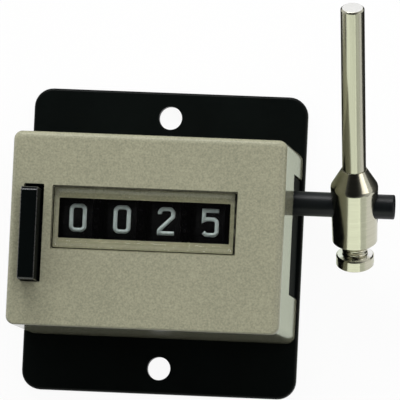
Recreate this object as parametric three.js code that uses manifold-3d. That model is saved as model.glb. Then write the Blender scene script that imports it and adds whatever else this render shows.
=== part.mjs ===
// Mechanical piece counter: four number wheels behind a lens, a stroke lever and a reset button.
// The counter lies on its mounting plate. X runs to the drive shaft, Y up the figures, and Z out of
// the display. The origin is the middle of the plate's back face. All sizes are in millimetres.
import * as THREE from 'three';
import Module from 'manifold-3d';
import { mergeVertices } from 'three/addons/utils/BufferGeometryUtils.js';

const wasm = await Module();
wasm.setup();

// Clearances and the one overrun of every cut
const overrun = 1;
const pressFit = 0.03;
const runningFit = 0.05;
const seatGap = 0.15;
const standGap = 0.3;

// Mounting plate
const plateThickness = 1.5;
const plateSideMargin = 0.45;
const plateCornerRadius = 3;
const mountHoleSpacing = 40;
const mountHoleDiameter = 3.9;
const mountHoleEdge = 4.08;

// Cover
const coverWall = 1.5;
const coverFrontWall = 1.6;
const coverCornerRadius = 1.35;
const coverEdgeRadius = 1.1;
const coverInnerRadius = 0.5;
const coverTopRoom = 2.25;
const coverBottomRoom = 0.93;
const coverBossRadius = 1.8;
const coverBossHeight = 8;
const coverBossSink = 0.2;

// Window and lens
const windowHeight = 6.3;
const windowEndMargin = 3.12;
const windowShift = 0.17;
const windowDrop = 0.15;
const lensLedgeSide = 1.02;
const lensLedgeTop = 1.87;
const lensThickness = 1.1;
const lensRim = 0.35;
const lensSlope = 0.5;
const lensPocketDepth = 0.45;

// Number wheels
const wheelNames = ['thousands_wheel', 'hundreds_wheel', 'tens_wheel', 'units_wheel'];
const shownFigures = [0, 0, 2, 5];
const figuresPerWheel = 10;
const wheelRadius = 9.5;
const drumWidth = 4.5;
const gearWidth = 0.8;
const heartWidth = 0.8;
const carryWidth = 0.7;
const wheelGap = 0.14;
const wheelFrontGap = 0.5;
const wheelRearGap = 1.4;
const wheelEndRoom = 0.775;
const wheelAxleRadius = 1.2;
const heartLowRadius = 2;
const heartHighRadius = 4.2;

// Gearing between the wheels
const wheelTeeth = 20;
const pinionTeeth = 8;
const gearRingInset = 1.7;
const gearAddendum = 0.6;
const gearDedendum = 0.8;
const gearBacklash = 0.08;
const pinionSideGap = 0.17;
const pinionAxleRadius = 0.75;
const carryTipGap = 0.25;
const carryToothHeight = 0.4;
const toothTipShare = 0.22;
const toothRootShare = 0.6;

// Ratchet, crank and pawl
const ratchetWidth = 1;
const ratchetTipRadius = 4.4;
const ratchetRootRadius = 3.6;
const shaftOffsetY = 4.6;
const shaftOffsetZ = 5.4;
const strokeAngle = THREE.MathUtils.degToRad(45);
const crankGap = 0.4;
const crankThickness = 1.2;
const crankRadius = 4.3;
const crankHubRadius = 3;
const crankTipRadius = 1.5;
const pawlPinRadius = 0.7;
const pawlEyeRadius = 1.4;
const pawlInset = 0.8;
const pawlThickness = 1.1;
const pawlSideGap = 0.1;
const detentThickness = 0.3;
const detentFoot = 1.6;
const detentBow = 0.7;
const detentTail = 2.2;

// Drive shaft, its bush and return spring
const shaftRadius = 1.95;
const shaftChamfer = 0.3;
const shaftReach = 15.75;
const bushWall = 0.65;
const bossWall = 0.55;
const returnSpringRoom = 2.3;
const returnSpringWire = 0.4;
const returnSpringPitch = 0.85;
const returnSpringTurns = 1.75;

// Moulded chassis
const floorThickness = 1.5;
const floorBossHeight = 2.5;
const floorBossRadius = 2.2;
const cheekThickness = 1.2;
const cheekCollar = 0.5;
const cheekCollarRadius = 2.4;
const sideWallThickness = 1.25;
const axleMargin = 2.4;
const padInset = 0.3;
const padClearance = 0.2;
const screwSpacing = 22;

// Notch in the cover's side, round the drive shaft
const notchAboveShaft = 4.35;
const notchBelowShaft = 14.7;
const notchFrontOfShaft = 3.4;

// Lever: distances run along the rod from the shaft's centre
const leverTilt = THREE.MathUtils.degToRad(33);
const leverFromShaftEnd = 6.33;
const rodRadius = 1.88;
const rodEnd = 35.2;
const rodChamfer = 0.25;
const clampConeTop = 6.67;
const clampConeBase = 3.8;
const clampEnd = 6.25;
const clampRimRadius = 3.77;
const clampEndRadius = 3.56;
const clampEndChamfer = 0.15;
const clampLip = 0.12;
const rodSocketFloor = 1;
const clampScrewRadius = 2.05;
const clampDiscTop = 8.63;
const clampDiscThickness = 1.92;
const clampDiscRadius = 3;
const clampDiscChamfer = 0.2;
const screwSlotWidth = 0.8;

// Reset button, its spring, and the comb that turns the wheels back
const buttonWidth = 2.88;
const buttonLength = 14.5;
const buttonProud = 4.5;
const buttonChamfer = 0.5;
const buttonTravel = 3;
const slotSideGap = 0.14;
const slotTopGap = 0.75;
const slotBottomGap = 0.1;
const slotDrop = 0.76;
const flangeLip = 0.56;
const flangeEndLip = 0.85;
const flangeThickness = 1.2;
const flangeToCheek = 0.65;
const stemLength = 3.6;
const stemBelowFlange = 12.6;
const stemFromFoot = 4;
const footLength = 2;
const springPinRadius = 0.9;
const springPinEntry = 1;
const springPinGap = 0.15;
const buttonSpringRadius = 1.45;
const buttonSpringWire = 0.4;
const buttonSpringTurns = 6;
const resetInset = 0.95;
const resetBelowDrum = 1.4;
const resetShaftRadius = 1;
const combTubeRadius = 1.8;
const combFingerThickness = 0.5;
const combFingerRoot = 1.2;
const combFingerTip = 1.1;
const combFingerOver = 0.8;
const resetArmThickness = 1.5;
const resetArmPastDrum = 1.5;
const resetArmRise = 3.5;
const resetArmTipRadius = 0.8;

// Countersunk screws
const screwRadius = 1;
const screwHoleGap = 0.15;
const screwHeadRadius = 1.8;
const screwHeadHeight = 1;
const screwHeadSink = 0.05;
const screwLength = 4.8;

// Numbers of facets
const drumSides = 60;
const clampSides = 48;
const shaftSides = 32;
const boreSides = 24;
const smallSides = 16;
const cornerSteps = 5;
const coilSteps = 8;
const coilSides = 5;

// Places along Z
const floorTop = plateThickness + floorThickness;
const wheelAxisZ = floorTop + floorBossHeight + wheelRearGap + wheelRadius;
const coverInnerZ = wheelAxisZ + wheelRadius + wheelFrontGap;
const coverFrontZ = coverInnerZ + coverFrontWall;

// Places along Y
const gearPitchRadius = wheelRadius - gearRingInset;
const pinionPitchRadius = (gearPitchRadius * pinionTeeth) / wheelTeeth;
const gearDistance = gearPitchRadius + pinionPitchRadius + gearBacklash;
const pinionTipRadius = pinionPitchRadius + gearAddendum;
const roomAbove = wheelRadius + coverTopRoom + coverWall;
const roomBelow = gearDistance + pinionTipRadius + coverBottomRoom + coverWall;
const coverHeight = roomAbove + roomBelow;
const wheelAxisY = coverHeight / 2 - roomAbove;
const pinionAxisY = wheelAxisY - gearDistance;
const shaftY = wheelAxisY + shaftOffsetY;
const shaftZ = wheelAxisZ - shaftOffsetZ;
const resetY = wheelAxisY + wheelRadius - resetInset;
const resetZ = wheelAxisZ - wheelRadius - resetBelowDrum;
const coverInnerY = coverHeight / 2 - coverWall;

// Places along X, stacked from the left wall to the right wall
const flangeWidth = buttonWidth + 2 * flangeLip;
const wheelPitch = drumWidth + gearWidth + heartWidth + carryWidth + wheelGap;
const leftRoom = coverWall + seatGap + flangeWidth + flangeToCheek + cheekThickness + wheelEndRoom;
const rowWidth = drumWidth + (wheelNames.length - 1) * wheelPitch;
const driveRoom = gearWidth + heartWidth + ratchetWidth + crankGap + crankThickness + returnSpringRoom;
const coverWidth = leftRoom + rowWidth + driveRoom + sideWallThickness + seatGap + coverWall;
const coverInnerX = coverWidth / 2 - coverWall;
const slotX = -coverInnerX + seatGap + flangeWidth / 2;
const cheekLeft = -coverInnerX + seatGap + flangeWidth + flangeToCheek;
const cheekRight = cheekLeft + cheekThickness;
const firstWheelX = cheekRight + wheelEndRoom + drumWidth / 2;
const unitsWheelX = firstWheelX + (wheelNames.length - 1) * wheelPitch;
const rowCentreX = (firstWheelX + unitsWheelX) / 2;
const heartStart = drumWidth / 2 + gearWidth;
const ratchetStart = heartStart + heartWidth;
const crankLeft = unitsWheelX + ratchetStart + ratchetWidth + crankGap;
const crankRight = crankLeft + crankThickness;
const sideWallRight = coverInnerX - seatGap;
const sideWallLeft = sideWallRight - sideWallThickness;
const bushRight = coverWidth / 2 - padInset;
const leverX = coverWidth / 2 + shaftReach - leverFromShaftEnd;

// Sizes that follow from two or more pieces
const plateWidth = coverWidth + 2 * plateSideMargin;
const plateHeight = mountHoleSpacing + 2 * mountHoleEdge;
const slotY = -slotDrop;
const slotWidth = buttonWidth + 2 * slotSideGap;
const slotLength = buttonLength + slotTopGap + slotBottomGap;
const buttonY = slotY - slotLength / 2 + slotBottomGap + buttonLength / 2;
const resetArmReach = wheelRadius + resetArmPastDrum;
const armTipY = resetY - resetArmReach;
const stemY = armTipY - stemFromFoot;
const armTipZ = resetZ + resetArmRise;
const bushRadius = shaftRadius + bushWall;
const bossRadius = bushRadius + bossWall;
const coverBossX = coverInnerX + coverBossSink - coverBossRadius;
const coverBossY = -(coverInnerY + coverBossSink - coverBossRadius);
const windowX = rowCentreX + windowShift;
const windowY = wheelAxisY - windowDrop;
const windowWidth = (wheelNames.length - 1) * wheelPitch + 2 * windowEndMargin;
const recessWidth = windowWidth + 2 * lensLedgeSide;
const recessHeight = windowHeight + 2 * lensLedgeTop;
const shaftToWheel = Math.hypot(shaftOffsetY, shaftOffsetZ);
const crankMidAngle = Math.atan2(-shaftOffsetY, -shaftOffsetZ);
const crankRestAngle = crankMidAngle + strokeAngle / 2;
const pawlX = unitsWheelX + ratchetStart + pawlSideGap;
const pawlWidth = ratchetWidth - 2 * pawlSideGap;

const at = (x, y) => new THREE.Vector2(x, y);
const polar = (radius, angle, x = 0, y = 0) =>
  at(x + radius * Math.cos(angle), y + radius * Math.sin(angle));

function circle(radius, sides, x = 0, y = 0) {
  return Array.from({ length: sides }, (_, i) => polar(radius, (i * 2 * Math.PI) / sides, x, y));
}

function arc(radius, from, to, steps, x = 0, y = 0) {
  const step = (to - from) / steps;
  return Array.from({ length: steps + 1 }, (_, i) => polar(radius, from + i * step, x, y));
}

function roundedRectangle(width, height, radius, x = 0, y = 0) {
  const quarter = Math.PI / 2;
  const corners = [[1, 1], [-1, 1], [-1, -1], [1, -1]];
  return corners.flatMap(([sx, sy], i) => {
    const cx = x + sx * (width / 2 - radius);
    const cy = y + sy * (height / 2 - radius);
    return arc(radius, i * quarter, (i + 1) * quarter, cornerSteps, cx, cy);
  });
}

function rectangle(width, height, x = 0, y = 0) {
  const [w, h] = [width / 2, height / 2];
  return [at(x - w, y - h), at(x + w, y - h), at(x + w, y + h), at(x - w, y + h)];
}

// The tangent outline round two circles, as on a crank or lever arm
function armOutline(radiusA, ax, ay, radiusB, bx, by) {
  const along = Math.atan2(by - ay, bx - ax);
  const lean = Math.acos((radiusA - radiusB) / Math.hypot(bx - ax, by - ay));
  const endB = arc(radiusB, along - lean, along + lean, cornerSteps * 2, bx, by);
  const endA = arc(radiusA, along + lean, along + 2 * Math.PI - lean, cornerSteps * 2, ax, ay);
  return [...endB, ...endA];
}

function solid(geometry) {
  geometry.deleteAttribute('normal');
  geometry.deleteAttribute('uv');
  const merged = mergeVertices(geometry);
  const vertProperties = new Float32Array(merged.attributes.position.array);
  const triVerts = new Uint32Array(merged.index.array);
  return new wasm.Manifold(new wasm.Mesh({ numProp: 3, vertProperties, triVerts }));
}

const join = (...bodies) => bodies.reduce((a, b) => a.add(b));
const cut = (body, ...tools) => tools.reduce((a, b) => a.subtract(b), body);

function extruded(outline, depth, holes = []) {
  const shape = new THREE.Shape(outline);
  shape.holes = holes.map((hole) => new THREE.Path(hole));
  return new THREE.ExtrudeGeometry(shape, { depth, bevelEnabled: false });
}

function prismZ(outline, from, to, holes) {
  return solid(extruded(outline, to - from, holes).translate(0, 0, from));
}

// The outline's two coordinates are Y and Z, and it is extruded along X
function prismX(outline, from, to, holes) {
  const axes = [new THREE.Vector3(0, 1, 0), new THREE.Vector3(0, 0, 1), new THREE.Vector3(1, 0, 0)];
  const turn = new THREE.Matrix4().makeBasis(...axes);
  return solid(extruded(outline, to - from, holes).applyMatrix4(turn).translate(from, 0, 0));
}

// The outline's two coordinates are Z and X, and it is extruded along Y
function prismY(outline, from, to) {
  const axes = [new THREE.Vector3(0, 0, 1), new THREE.Vector3(1, 0, 0), new THREE.Vector3(0, 1, 0)];
  const turn = new THREE.Matrix4().makeBasis(...axes);
  return solid(extruded(outline, to - from).applyMatrix4(turn).translate(0, from, 0));
}

// A profile of [radius, distance] pairs, from one end of the axis to the other
function turned(profile, sides) {
  return new THREE.LatheGeometry(profile.map(([radius, along]) => at(radius, along)), sides);
}

const quarterTurn = Math.PI / 2;
const turnedX = (profile, sides, y, z) =>
  solid(turned(profile, sides).rotateZ(-quarterTurn).translate(0, y, z));
const turnedZ = (profile, sides, x, y) =>
  solid(turned(profile, sides).rotateX(quarterTurn).translate(x, y, 0));
const rodX = (radius, from, to, y, z, sides = boreSides) =>
  prismX(circle(radius, sides, y, z), from, to);
const rodZ = (radius, from, to, x, y, sides = boreSides) =>
  prismZ(circle(radius, sides, x, y), from, to);

function block(x0, x1, y0, y1, z0, z1) {
  return prismZ(rectangle(x1 - x0, y1 - y0, (x0 + x1) / 2, (y0 + y1) / 2), z0, z1);
}

// An unbroken coil along Z, its wire's ends capped
function coil(name, radius, wire, pitch, turns) {
  const steps = Math.round(turns * coilSteps);
  const points = [];
  for (let i = 0; i <= steps; i += 1) {
    const angle = (i * 2 * Math.PI) / coilSteps;
    for (let j = 0; j < coilSides; j += 1) {
      const round = (j * 2 * Math.PI) / coilSides;
      const out = radius + (wire / 2) * Math.cos(round);
      const rise = (pitch * i) / coilSteps + (wire / 2) * Math.sin(round);
      points.push(out * Math.cos(angle), out * Math.sin(angle), rise);
    }
  }
  const faces = [];
  for (let i = 0; i < steps; i += 1) {
    for (let j = 0; j < coilSides; j += 1) {
      const [a, b] = [i * coilSides + j, i * coilSides + ((j + 1) % coilSides)];
      faces.push(a, a + coilSides, b, b, a + coilSides, b + coilSides);
    }
  }
  const last = steps * coilSides;
  for (let j = 1; j < coilSides - 1; j += 1) {
    faces.push(0, j, j + 1, last, last + j + 1, last + j);
  }
  const geometry = new THREE.BufferGeometry();
  geometry.setAttribute('position', new THREE.Float32BufferAttribute(points, 3));
  geometry.setIndex(faces);
  console.log(`${name}: least gap between turns ${leastCoilGap(points).toFixed(2)} mm`);
  return geometry;
}

// The least distance between points of the wire that lie a turn apart
function leastCoilGap(points) {
  const count = points.length / 3;
  const wire = Array.from({ length: count }, (_, i) => new THREE.Vector3().fromArray(points, 3 * i));
  const turn = coilSteps * coilSides;
  let least = Infinity;
  for (let i = 0; i + turn < wire.length; i += 1) {
    const first = i - (i % coilSides) + turn;
    for (let j = first; j < first + coilSides; j += 1) {
      least = Math.min(least, wire[i].distanceTo(wire[j]));
    }
  }
  return least;
}

const finish = (color, roughness, metalness) =>
  new THREE.MeshStandardMaterial({ color, roughness, metalness });
const blackPaint = finish(0x14171a, 0.45, 0.1);
const beigePlastic = finish(0x9a9a82, 0.5, 0);
const clearPlastic = finish(0xdfe3dc, 0.08, 0);
const blackPlastic = finish(0x101214, 0.4, 0);
const wheelPlastic = finish(0x0c0d0f, 0.5, 0);
const whitePlastic = finish(0xc9c8bd, 0.5, 0);
const blackSteel = finish(0x1a1c1f, 0.35, 0.7);
const nickelPlate = finish(0xc6c4b4, 0.18, 1);
const brightSteel = finish(0xa9aaa8, 0.3, 1);
const springSteel = finish(0x8b8d90, 0.3, 1);
const bronze = finish(0x6a5a3c, 0.45, 0.9);
const zincSteel = finish(0xa6a9a2, 0.35, 1);

const group = new THREE.Group();

function add(name, body, material, parent = group) {
  const { numProp, vertProperties, triVerts } = body.getMesh();
  const geometry = new THREE.BufferGeometry();
  const buffer = new THREE.InterleavedBuffer(vertProperties, numProp);
  geometry.setAttribute('position', new THREE.InterleavedBufferAttribute(buffer, 3, 0));
  geometry.setIndex(new THREE.BufferAttribute(triVerts, 1));
  geometry.computeVertexNormals();
  const mesh = new THREE.Mesh(geometry, material);
  mesh.name = name;
  parent.add(mesh);
  return mesh;
}

function holder(x, y, z, turnX = 0) {
  const frame = new THREE.Group();
  frame.position.set(x, y, z);
  frame.rotation.x = turnX;
  group.add(frame);
  return frame;
}

// Screws: the chassis is held through its floor, the cover through its two lower bosses
const chassisScrewPlaces = [-1, 1].map((side) => [(side * screwSpacing) / 2, 0]);
const coverScrewPlaces = [-1, 1].map((side) => [side * coverBossX, coverBossY]);

function countersunkScrew(x, y) {
  const headTop = screwHeadSink + screwHeadHeight;
  const profile = [
    [0, screwHeadSink], [screwHeadRadius, screwHeadSink], [screwRadius, headTop],
    [screwRadius, screwHeadSink + screwLength], [0, screwHeadSink + screwLength],
  ];
  return turnedZ(profile, boreSides, x, y);
}

function countersunkHole(x, y) {
  const rim = screwHeadRadius + runningFit;
  const shank = screwRadius + screwHoleGap;
  const slope = (rim - shank) / screwHeadHeight;
  const profile = [
    [0, -overrun], [rim + slope * overrun, -overrun], [shank, screwHeadHeight],
    [shank, plateThickness + overrun], [0, plateThickness + overrun],
  ];
  return turnedZ(profile, boreSides, x, y);
}

function mountingPlate() {
  const outline = roundedRectangle(plateWidth, plateHeight, plateCornerRadius);
  const mountHoles = [-1, 1].map((side) =>
    circle(mountHoleDiameter / 2, shaftSides, 0, (side * mountHoleSpacing) / 2));
  const plate = prismZ(outline, 0, plateThickness, mountHoles);
  const screwPlaces = [...chassisScrewPlaces, ...coverScrewPlaces];
  return cut(plate, ...screwPlaces.map(([x, y]) => countersunkHole(x, y)));
}

// The cover's outside, its front edge rounded; the rounding at its back is cut away
function coverShell() {
  const shape = new THREE.Shape(roundedRectangle(coverWidth, coverHeight, coverCornerRadius));
  const depth = coverFrontZ - plateThickness;
  const options = {
    depth, bevelThickness: coverEdgeRadius, bevelSize: coverEdgeRadius,
    bevelOffset: -coverEdgeRadius, bevelSegments: cornerSteps,
  };
  const start = plateThickness - coverEdgeRadius;
  const outside = new THREE.ExtrudeGeometry(shape, options).translate(0, 0, start);
  const [w, h] = [coverWidth / 2 + overrun, coverHeight / 2 + overrun];
  const rear = block(-w, w, -h, h, start - coverEdgeRadius - overrun, plateThickness);
  const room = roundedRectangle(2 * coverInnerX, 2 * coverInnerY, coverInnerRadius);
  return cut(solid(outside), rear, prismZ(room, plateThickness - overrun, coverInnerZ));
}

function windowOpening() {
  const recess = rectangle(recessWidth, recessHeight, windowX, windowY);
  const opening = rectangle(windowWidth, windowHeight, windowX, windowY);
  const front = coverFrontZ + overrun;
  const ledge = coverFrontZ - lensThickness;
  return join(prismZ(recess, ledge, front), prismZ(opening, coverInnerZ - overrun, front));
}

function sideNotch() {
  const [left, right] = [coverInnerX - overrun, coverWidth / 2 + overrun];
  const [low, high] = [shaftY - notchBelowShaft, shaftY + notchAboveShaft];
  return block(left, right, low, high, plateThickness - overrun, shaftZ + notchFrontOfShaft);
}

function cover() {
  const slot = rectangle(slotWidth, slotLength, slotX, slotY);
  const bossTop = plateThickness + coverBossHeight;
  const bosses = coverScrewPlaces.map(([x, y]) =>
    rodZ(coverBossRadius, plateThickness, bossTop, x, y));
  const cores = coverScrewPlaces.map(([x, y]) =>
    rodZ(screwRadius + pressFit, plateThickness - overrun, bossTop - coverWall, x, y));
  const slotCut = prismZ(slot, coverInnerZ - overrun, coverFrontZ + overrun);
  const shell = cut(coverShell(), slotCut, windowOpening(), sideNotch());
  return cut(join(shell, ...bosses), ...cores);
}

// The lens lies on the recess's ledge; its front slopes down from a narrow rim to the clear pane
function windowLens() {
  const width = recessWidth - 2 * seatGap;
  const height = recessHeight - 2 * seatGap;
  const outline = rectangle(width, height, windowX, windowY);
  const body = prismZ(outline, coverFrontZ - lensThickness, coverFrontZ);
  const inner = rectangle(width - 2 * lensRim, height - 2 * lensRim, windowX, windowY);
  const pocket = new THREE.Shape(inner);
  const options = {
    depth: overrun, bevelThickness: lensPocketDepth, bevelSize: lensSlope,
    bevelOffset: -lensSlope, bevelSegments: 1,
  };
  return cut(body, solid(new THREE.ExtrudeGeometry(pocket, options).translate(0, 0, coverFrontZ)));
}

// Bearing holes through the chassis walls
function axleBores() {
  const [left, right] = [cheekLeft - overrun, sideWallRight + overrun];
  return join(
    rodX(wheelAxleRadius + pressFit, left, right, wheelAxisY, wheelAxisZ),
    rodX(pinionAxleRadius + pressFit, left, right, pinionAxisY, wheelAxisZ, smallSides),
    rodX(resetShaftRadius + runningFit, left, right, resetY, resetZ, smallSides),
  );
}

// A chassis wall: wide at the foot round the reset shaft, stepped clear of the cover's boss
function wallOutline() {
  const footLow = coverBossY + coverBossRadius + standGap;
  const top = wheelAxisZ + axleMargin;
  const stepZ = plateThickness + coverBossHeight + standGap;
  const low = pinionAxisY - axleMargin;
  return [
    at(footLow, plateThickness), at(resetY + axleMargin, plateThickness),
    at(resetY + axleMargin, resetZ + axleMargin), at(shaftY + bossRadius, shaftZ + bossRadius),
    at(wheelAxisY + axleMargin, top), at(low, top), at(low, stepZ), at(footLow, stepZ),
  ];
}

function chassisFloor() {
  const floor = rectangle(2 * sideWallRight, 2 * (coverInnerY - seatGap));
  const room = coverBossRadius + standGap;
  const corners = coverScrewPlaces.map(([x, y]) => {
    const [inner, outer] = [x - Math.sign(x) * room, x + Math.sign(x) * (room + overrun)];
    const [left, right] = [Math.min(inner, outer), Math.max(inner, outer)];
    return block(left, right, -coverInnerY - overrun, y + room, 0, floorTop + overrun);
  });
  return cut(prismZ(floor, plateThickness, floorTop), ...corners);
}

function chassis() {
  const wall = wallOutline();
  const padLow = shaftY - notchBelowShaft + padClearance;
  const padHigh = shaftY + notchAboveShaft - padClearance;
  const padFront = shaftZ + notchFrontOfShaft - padClearance;
  const bossTop = floorTop + floorBossHeight;
  const screwBosses = chassisScrewPlaces.map(([x, y]) =>
    rodZ(floorBossRadius, plateThickness, bossTop, x, y));
  const screwCores = chassisScrewPlaces.map(([x, y]) =>
    rodZ(screwRadius + pressFit, plateThickness - overrun, bossTop + overrun, x, y, smallSides));
  const body = join(
    chassisFloor(),
    prismX(wall, cheekLeft, cheekRight),
    prismX(wall, sideWallLeft, sideWallRight),
    block(sideWallLeft, bushRight, padLow, padHigh, plateThickness, padFront),
    rodX(cheekCollarRadius, cheekLeft, cheekRight + cheekCollar, wheelAxisY, wheelAxisZ),
    rodZ(springPinRadius, plateThickness, springPinTop(), slotX, stemY, smallSides),
    ...screwBosses,
  );
  const [left, right] = [sideWallLeft - overrun, bushRight + overrun];
  const bushBore = rodX(bushRadius + pressFit, left, right, shaftY, shaftZ, shaftSides);
  return cut(body, axleBores(), bushBore, ...screwCores);
}

const stemEnd = () => coverInnerZ - standGap - flangeThickness - stemBelowFlange;
const springPinTop = () => stemEnd() + springPinEntry;

// Teeth as shares of one tooth's angle, wide at the root and narrow at the tip
function toothedOutline(teeth, rootRadius, tipRadius, phase) {
  const step = (2 * Math.PI) / teeth;
  const [root, tip] = [(step * toothRootShare) / 2, (step * toothTipShare) / 2];
  return Array.from({ length: teeth }, (_, i) => phase + i * step).flatMap((middle) => [
    polar(rootRadius, middle - root), polar(tipRadius, middle - tip),
    polar(tipRadius, middle + tip), polar(rootRadius, middle + root),
  ]);
}

// The carry ring: a plain locking rim with two raised teeth at the step from nine to nought
function carryOutline() {
  const tip = gearDistance - pinionTipRadius - carryTipGap;
  const step = (2 * Math.PI) / wheelTeeth;
  return Array.from({ length: wheelTeeth * 3 }, (_, i) => {
    const raised = [1, 4].includes(i);
    return polar(raised ? tip : tip - carryToothHeight, Math.PI + ((i - 2.5) * step) / 3);
  });
}

// The heart cam: its radius grows evenly both ways from its low point
function heartOutline() {
  return Array.from({ length: boreSides }, (_, i) => {
    const angle = (i * 2 * Math.PI) / boreSides;
    const share = 1 - Math.abs(angle - Math.PI) / Math.PI;
    return polar(heartLowRadius + (heartHighRadius - heartLowRadius) * share, angle);
  });
}

function ratchetOutline() {
  const step = (2 * Math.PI) / figuresPerWheel;
  return Array.from({ length: figuresPerWheel }, (_, i) => i * step).flatMap((angle) => [
    polar(ratchetRootRadius, angle), polar(ratchetTipRadius, angle + step),
  ]);
}

// One number wheel round its own axis, its drum's middle at X nought
function numberWheel(index) {
  const last = index === wheelNames.length - 1;
  const pieces = [prismX(circle(wheelRadius, drumSides), -drumWidth / 2, drumWidth / 2)];
  pieces.push(prismX(heartOutline(), 0, heartStart + heartWidth));
  if (index > 0) pieces.push(prismX(carryOutline(), -drumWidth / 2 - carryWidth, 0));
  if (last) {
    pieces.push(prismX(ratchetOutline(), 0, heartStart));
    pieces.push(rodX(heartLowRadius, 0, ratchetStart + overrun, 0, 0));
    pieces.push(prismX(ratchetOutline(), ratchetStart, ratchetStart + ratchetWidth));
  } else {
    const half = Math.PI / wheelTeeth;
    const [root, tip] = [gearPitchRadius - gearDedendum, gearPitchRadius + gearAddendum];
    pieces.push(prismX(toothedOutline(wheelTeeth, root, tip, half), 0, heartStart));
  }
  const reach = wheelPitch;
  return cut(join(...pieces), rodX(wheelAxleRadius + runningFit, -reach, reach, 0, 0));
}

function transferPinion() {
  const [root, tip] = [pinionPitchRadius - gearDedendum, pinionTipRadius];
  const width = wheelPitch - drumWidth - 2 * pinionSideGap;
  const bore = circle(pinionAxleRadius + runningFit, smallSides);
  return prismX(toothedOutline(pinionTeeth, root, tip, 0), -width / 2, width / 2, [bore]);
}

function addWheels() {
  const step = (2 * Math.PI) / figuresPerWheel;
  wheelNames.forEach((name, i) => {
    const x = firstWheelX + i * wheelPitch;
    const place = holder(x, wheelAxisY, wheelAxisZ, -shownFigures[i] * step);
    add(name, numberWheel(i), wheelPlastic, place);
    if (i === 0) return;
    const between = holder(x - wheelPitch / 2, pinionAxisY, wheelAxisZ);
    add(`transfer_pinion_${wheelNames.length - i}`, transferPinion(), whitePlastic, between);
  });
}

// An axle pressed into both chassis walls, in the plane of the wheels' axis
function rodBetweenWalls(radius, y, sides) {
  return rodX(radius, cheekLeft, sideWallRight, y, wheelAxisZ, sides);
}

function driveShaft() {
  const [left, right] = [crankLeft - pawlSideGap, coverWidth / 2 + shaftReach];
  const profile = [
    [0, left], [shaftRadius, left], [shaftRadius, right - shaftChamfer],
    [shaftRadius - shaftChamfer, right], [0, right],
  ];
  return turnedX(profile, shaftSides, shaftY, shaftZ);
}

function shaftBush() {
  const bore = circle(shaftRadius + runningFit, shaftSides, shaftY, shaftZ);
  return prismX(circle(bushRadius, shaftSides, shaftY, shaftZ), sideWallLeft, bushRight, [bore]);
}

const crankPin = () => polar(crankRadius, crankRestAngle, shaftY, shaftZ);

function driveCrank() {
  const pin = crankPin();
  const outline = armOutline(crankHubRadius, shaftY, shaftZ, crankTipRadius, pin.x, pin.y);
  const holes = [
    circle(shaftRadius + pressFit, shaftSides, shaftY, shaftZ),
    circle(pawlPinRadius + pressFit, smallSides, pin.x, pin.y),
  ];
  return prismX(outline, crankLeft, crankRight, holes);
}

function pawlPin() {
  const pin = crankPin();
  return rodX(pawlPinRadius, pawlX, crankRight, pin.x, pin.y, smallSides);
}

// The pawl lies along the line of centres, its inner edge just clear of the ratchet's teeth
function drivePawl() {
  const pin = crankPin();
  const along = Math.atan2(shaftOffsetZ, -shaftOffsetY);
  const turn = (x, y) => at(x, y).rotateAround(at(0, 0), along).add(pin);
  const out = pawlInset + pawlThickness;
  const arm = [
    turn(0, out), turn(0, 0), turn(pawlEyeRadius, 0), turn(pawlEyeRadius + pawlInset, pawlInset),
    turn(shaftToWheel, pawlInset), turn(shaftToWheel - pawlInset, out),
  ];
  const [left, right] = [pawlX, pawlX + pawlWidth];
  const eye = rodX(pawlEyeRadius, left, right, pin.x, pin.y, smallSides);
  const boreRadius = pawlPinRadius + runningFit;
  const bore = rodX(boreRadius, left - overrun, right + overrun, pin.x, pin.y, smallSides);
  return cut(join(eye, prismX(arm.reverse(), left, right)), bore);
}

// A leaf on the floor whose bow rests beside the ratchet and holds each step
function detentSpring() {
  const near = wheelAxisY + ratchetTipRadius + standGap;
  const leaf = near + detentBow;
  const inner = [
    at(leaf, wheelAxisZ - detentTail), at(near, wheelAxisZ), at(leaf, wheelAxisZ + detentTail),
  ];
  const outer = inner.map((point) => at(point.x + detentThickness, point.y));
  const footTop = floorTop + detentThickness;
  const outline = [
    at(leaf, floorTop), at(leaf + detentFoot, floorTop), at(leaf + detentFoot, footTop),
    at(leaf + detentThickness, footTop), ...outer, ...inner.reverse(),
  ];
  return prismX(outline, pawlX, pawlX + pawlWidth);
}

function returnSpring() {
  const radius = shaftRadius + returnSpringWire + seatGap;
  const [pitch, turns] = [returnSpringPitch, returnSpringTurns];
  const start = (crankRight + sideWallLeft - pitch * turns) / 2;
  const geometry = coil('return_spring', radius, returnSpringWire, pitch, turns);
  return solid(geometry.rotateY(quarterTurn).translate(start, shaftY, shaftZ));
}

// The clamp, turned round its own Y axis: a slightly tapered body under a cone, with three bores
function leverClamp() {
  const body = solid(turned([
    [0, -clampEnd], [clampEndRadius - clampEndChamfer, -clampEnd],
    [clampEndRadius, clampEndChamfer - clampEnd], [clampRimRadius, clampConeBase],
    [rodRadius + clampLip, clampConeTop], [0, clampConeTop],
  ], clampSides));
  const socketFoot = shaftRadius + rodSocketFloor;
  const rodSocket = prismY(circle(rodRadius + runningFit, boreSides), socketFoot, clampConeTop + overrun);
  const screwCircle = circle(clampScrewRadius + runningFit, boreSides);
  const screwBore = prismY(screwCircle, -clampEnd - overrun, -shaftRadius / 2);
  const [radius, reach] = [shaftRadius + runningFit, 2 * clampRimRadius];
  return cut(body, rodSocket, screwBore, rodX(radius, -reach, reach, 0, 0, shaftSides));
}

function leverRod() {
  const foot = shaftRadius + rodSocketFloor + standGap;
  return solid(turned([
    [0, foot], [rodRadius, foot], [rodRadius, rodEnd - rodChamfer],
    [rodRadius - rodChamfer, rodEnd], [0, rodEnd],
  ], boreSides));
}

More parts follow.
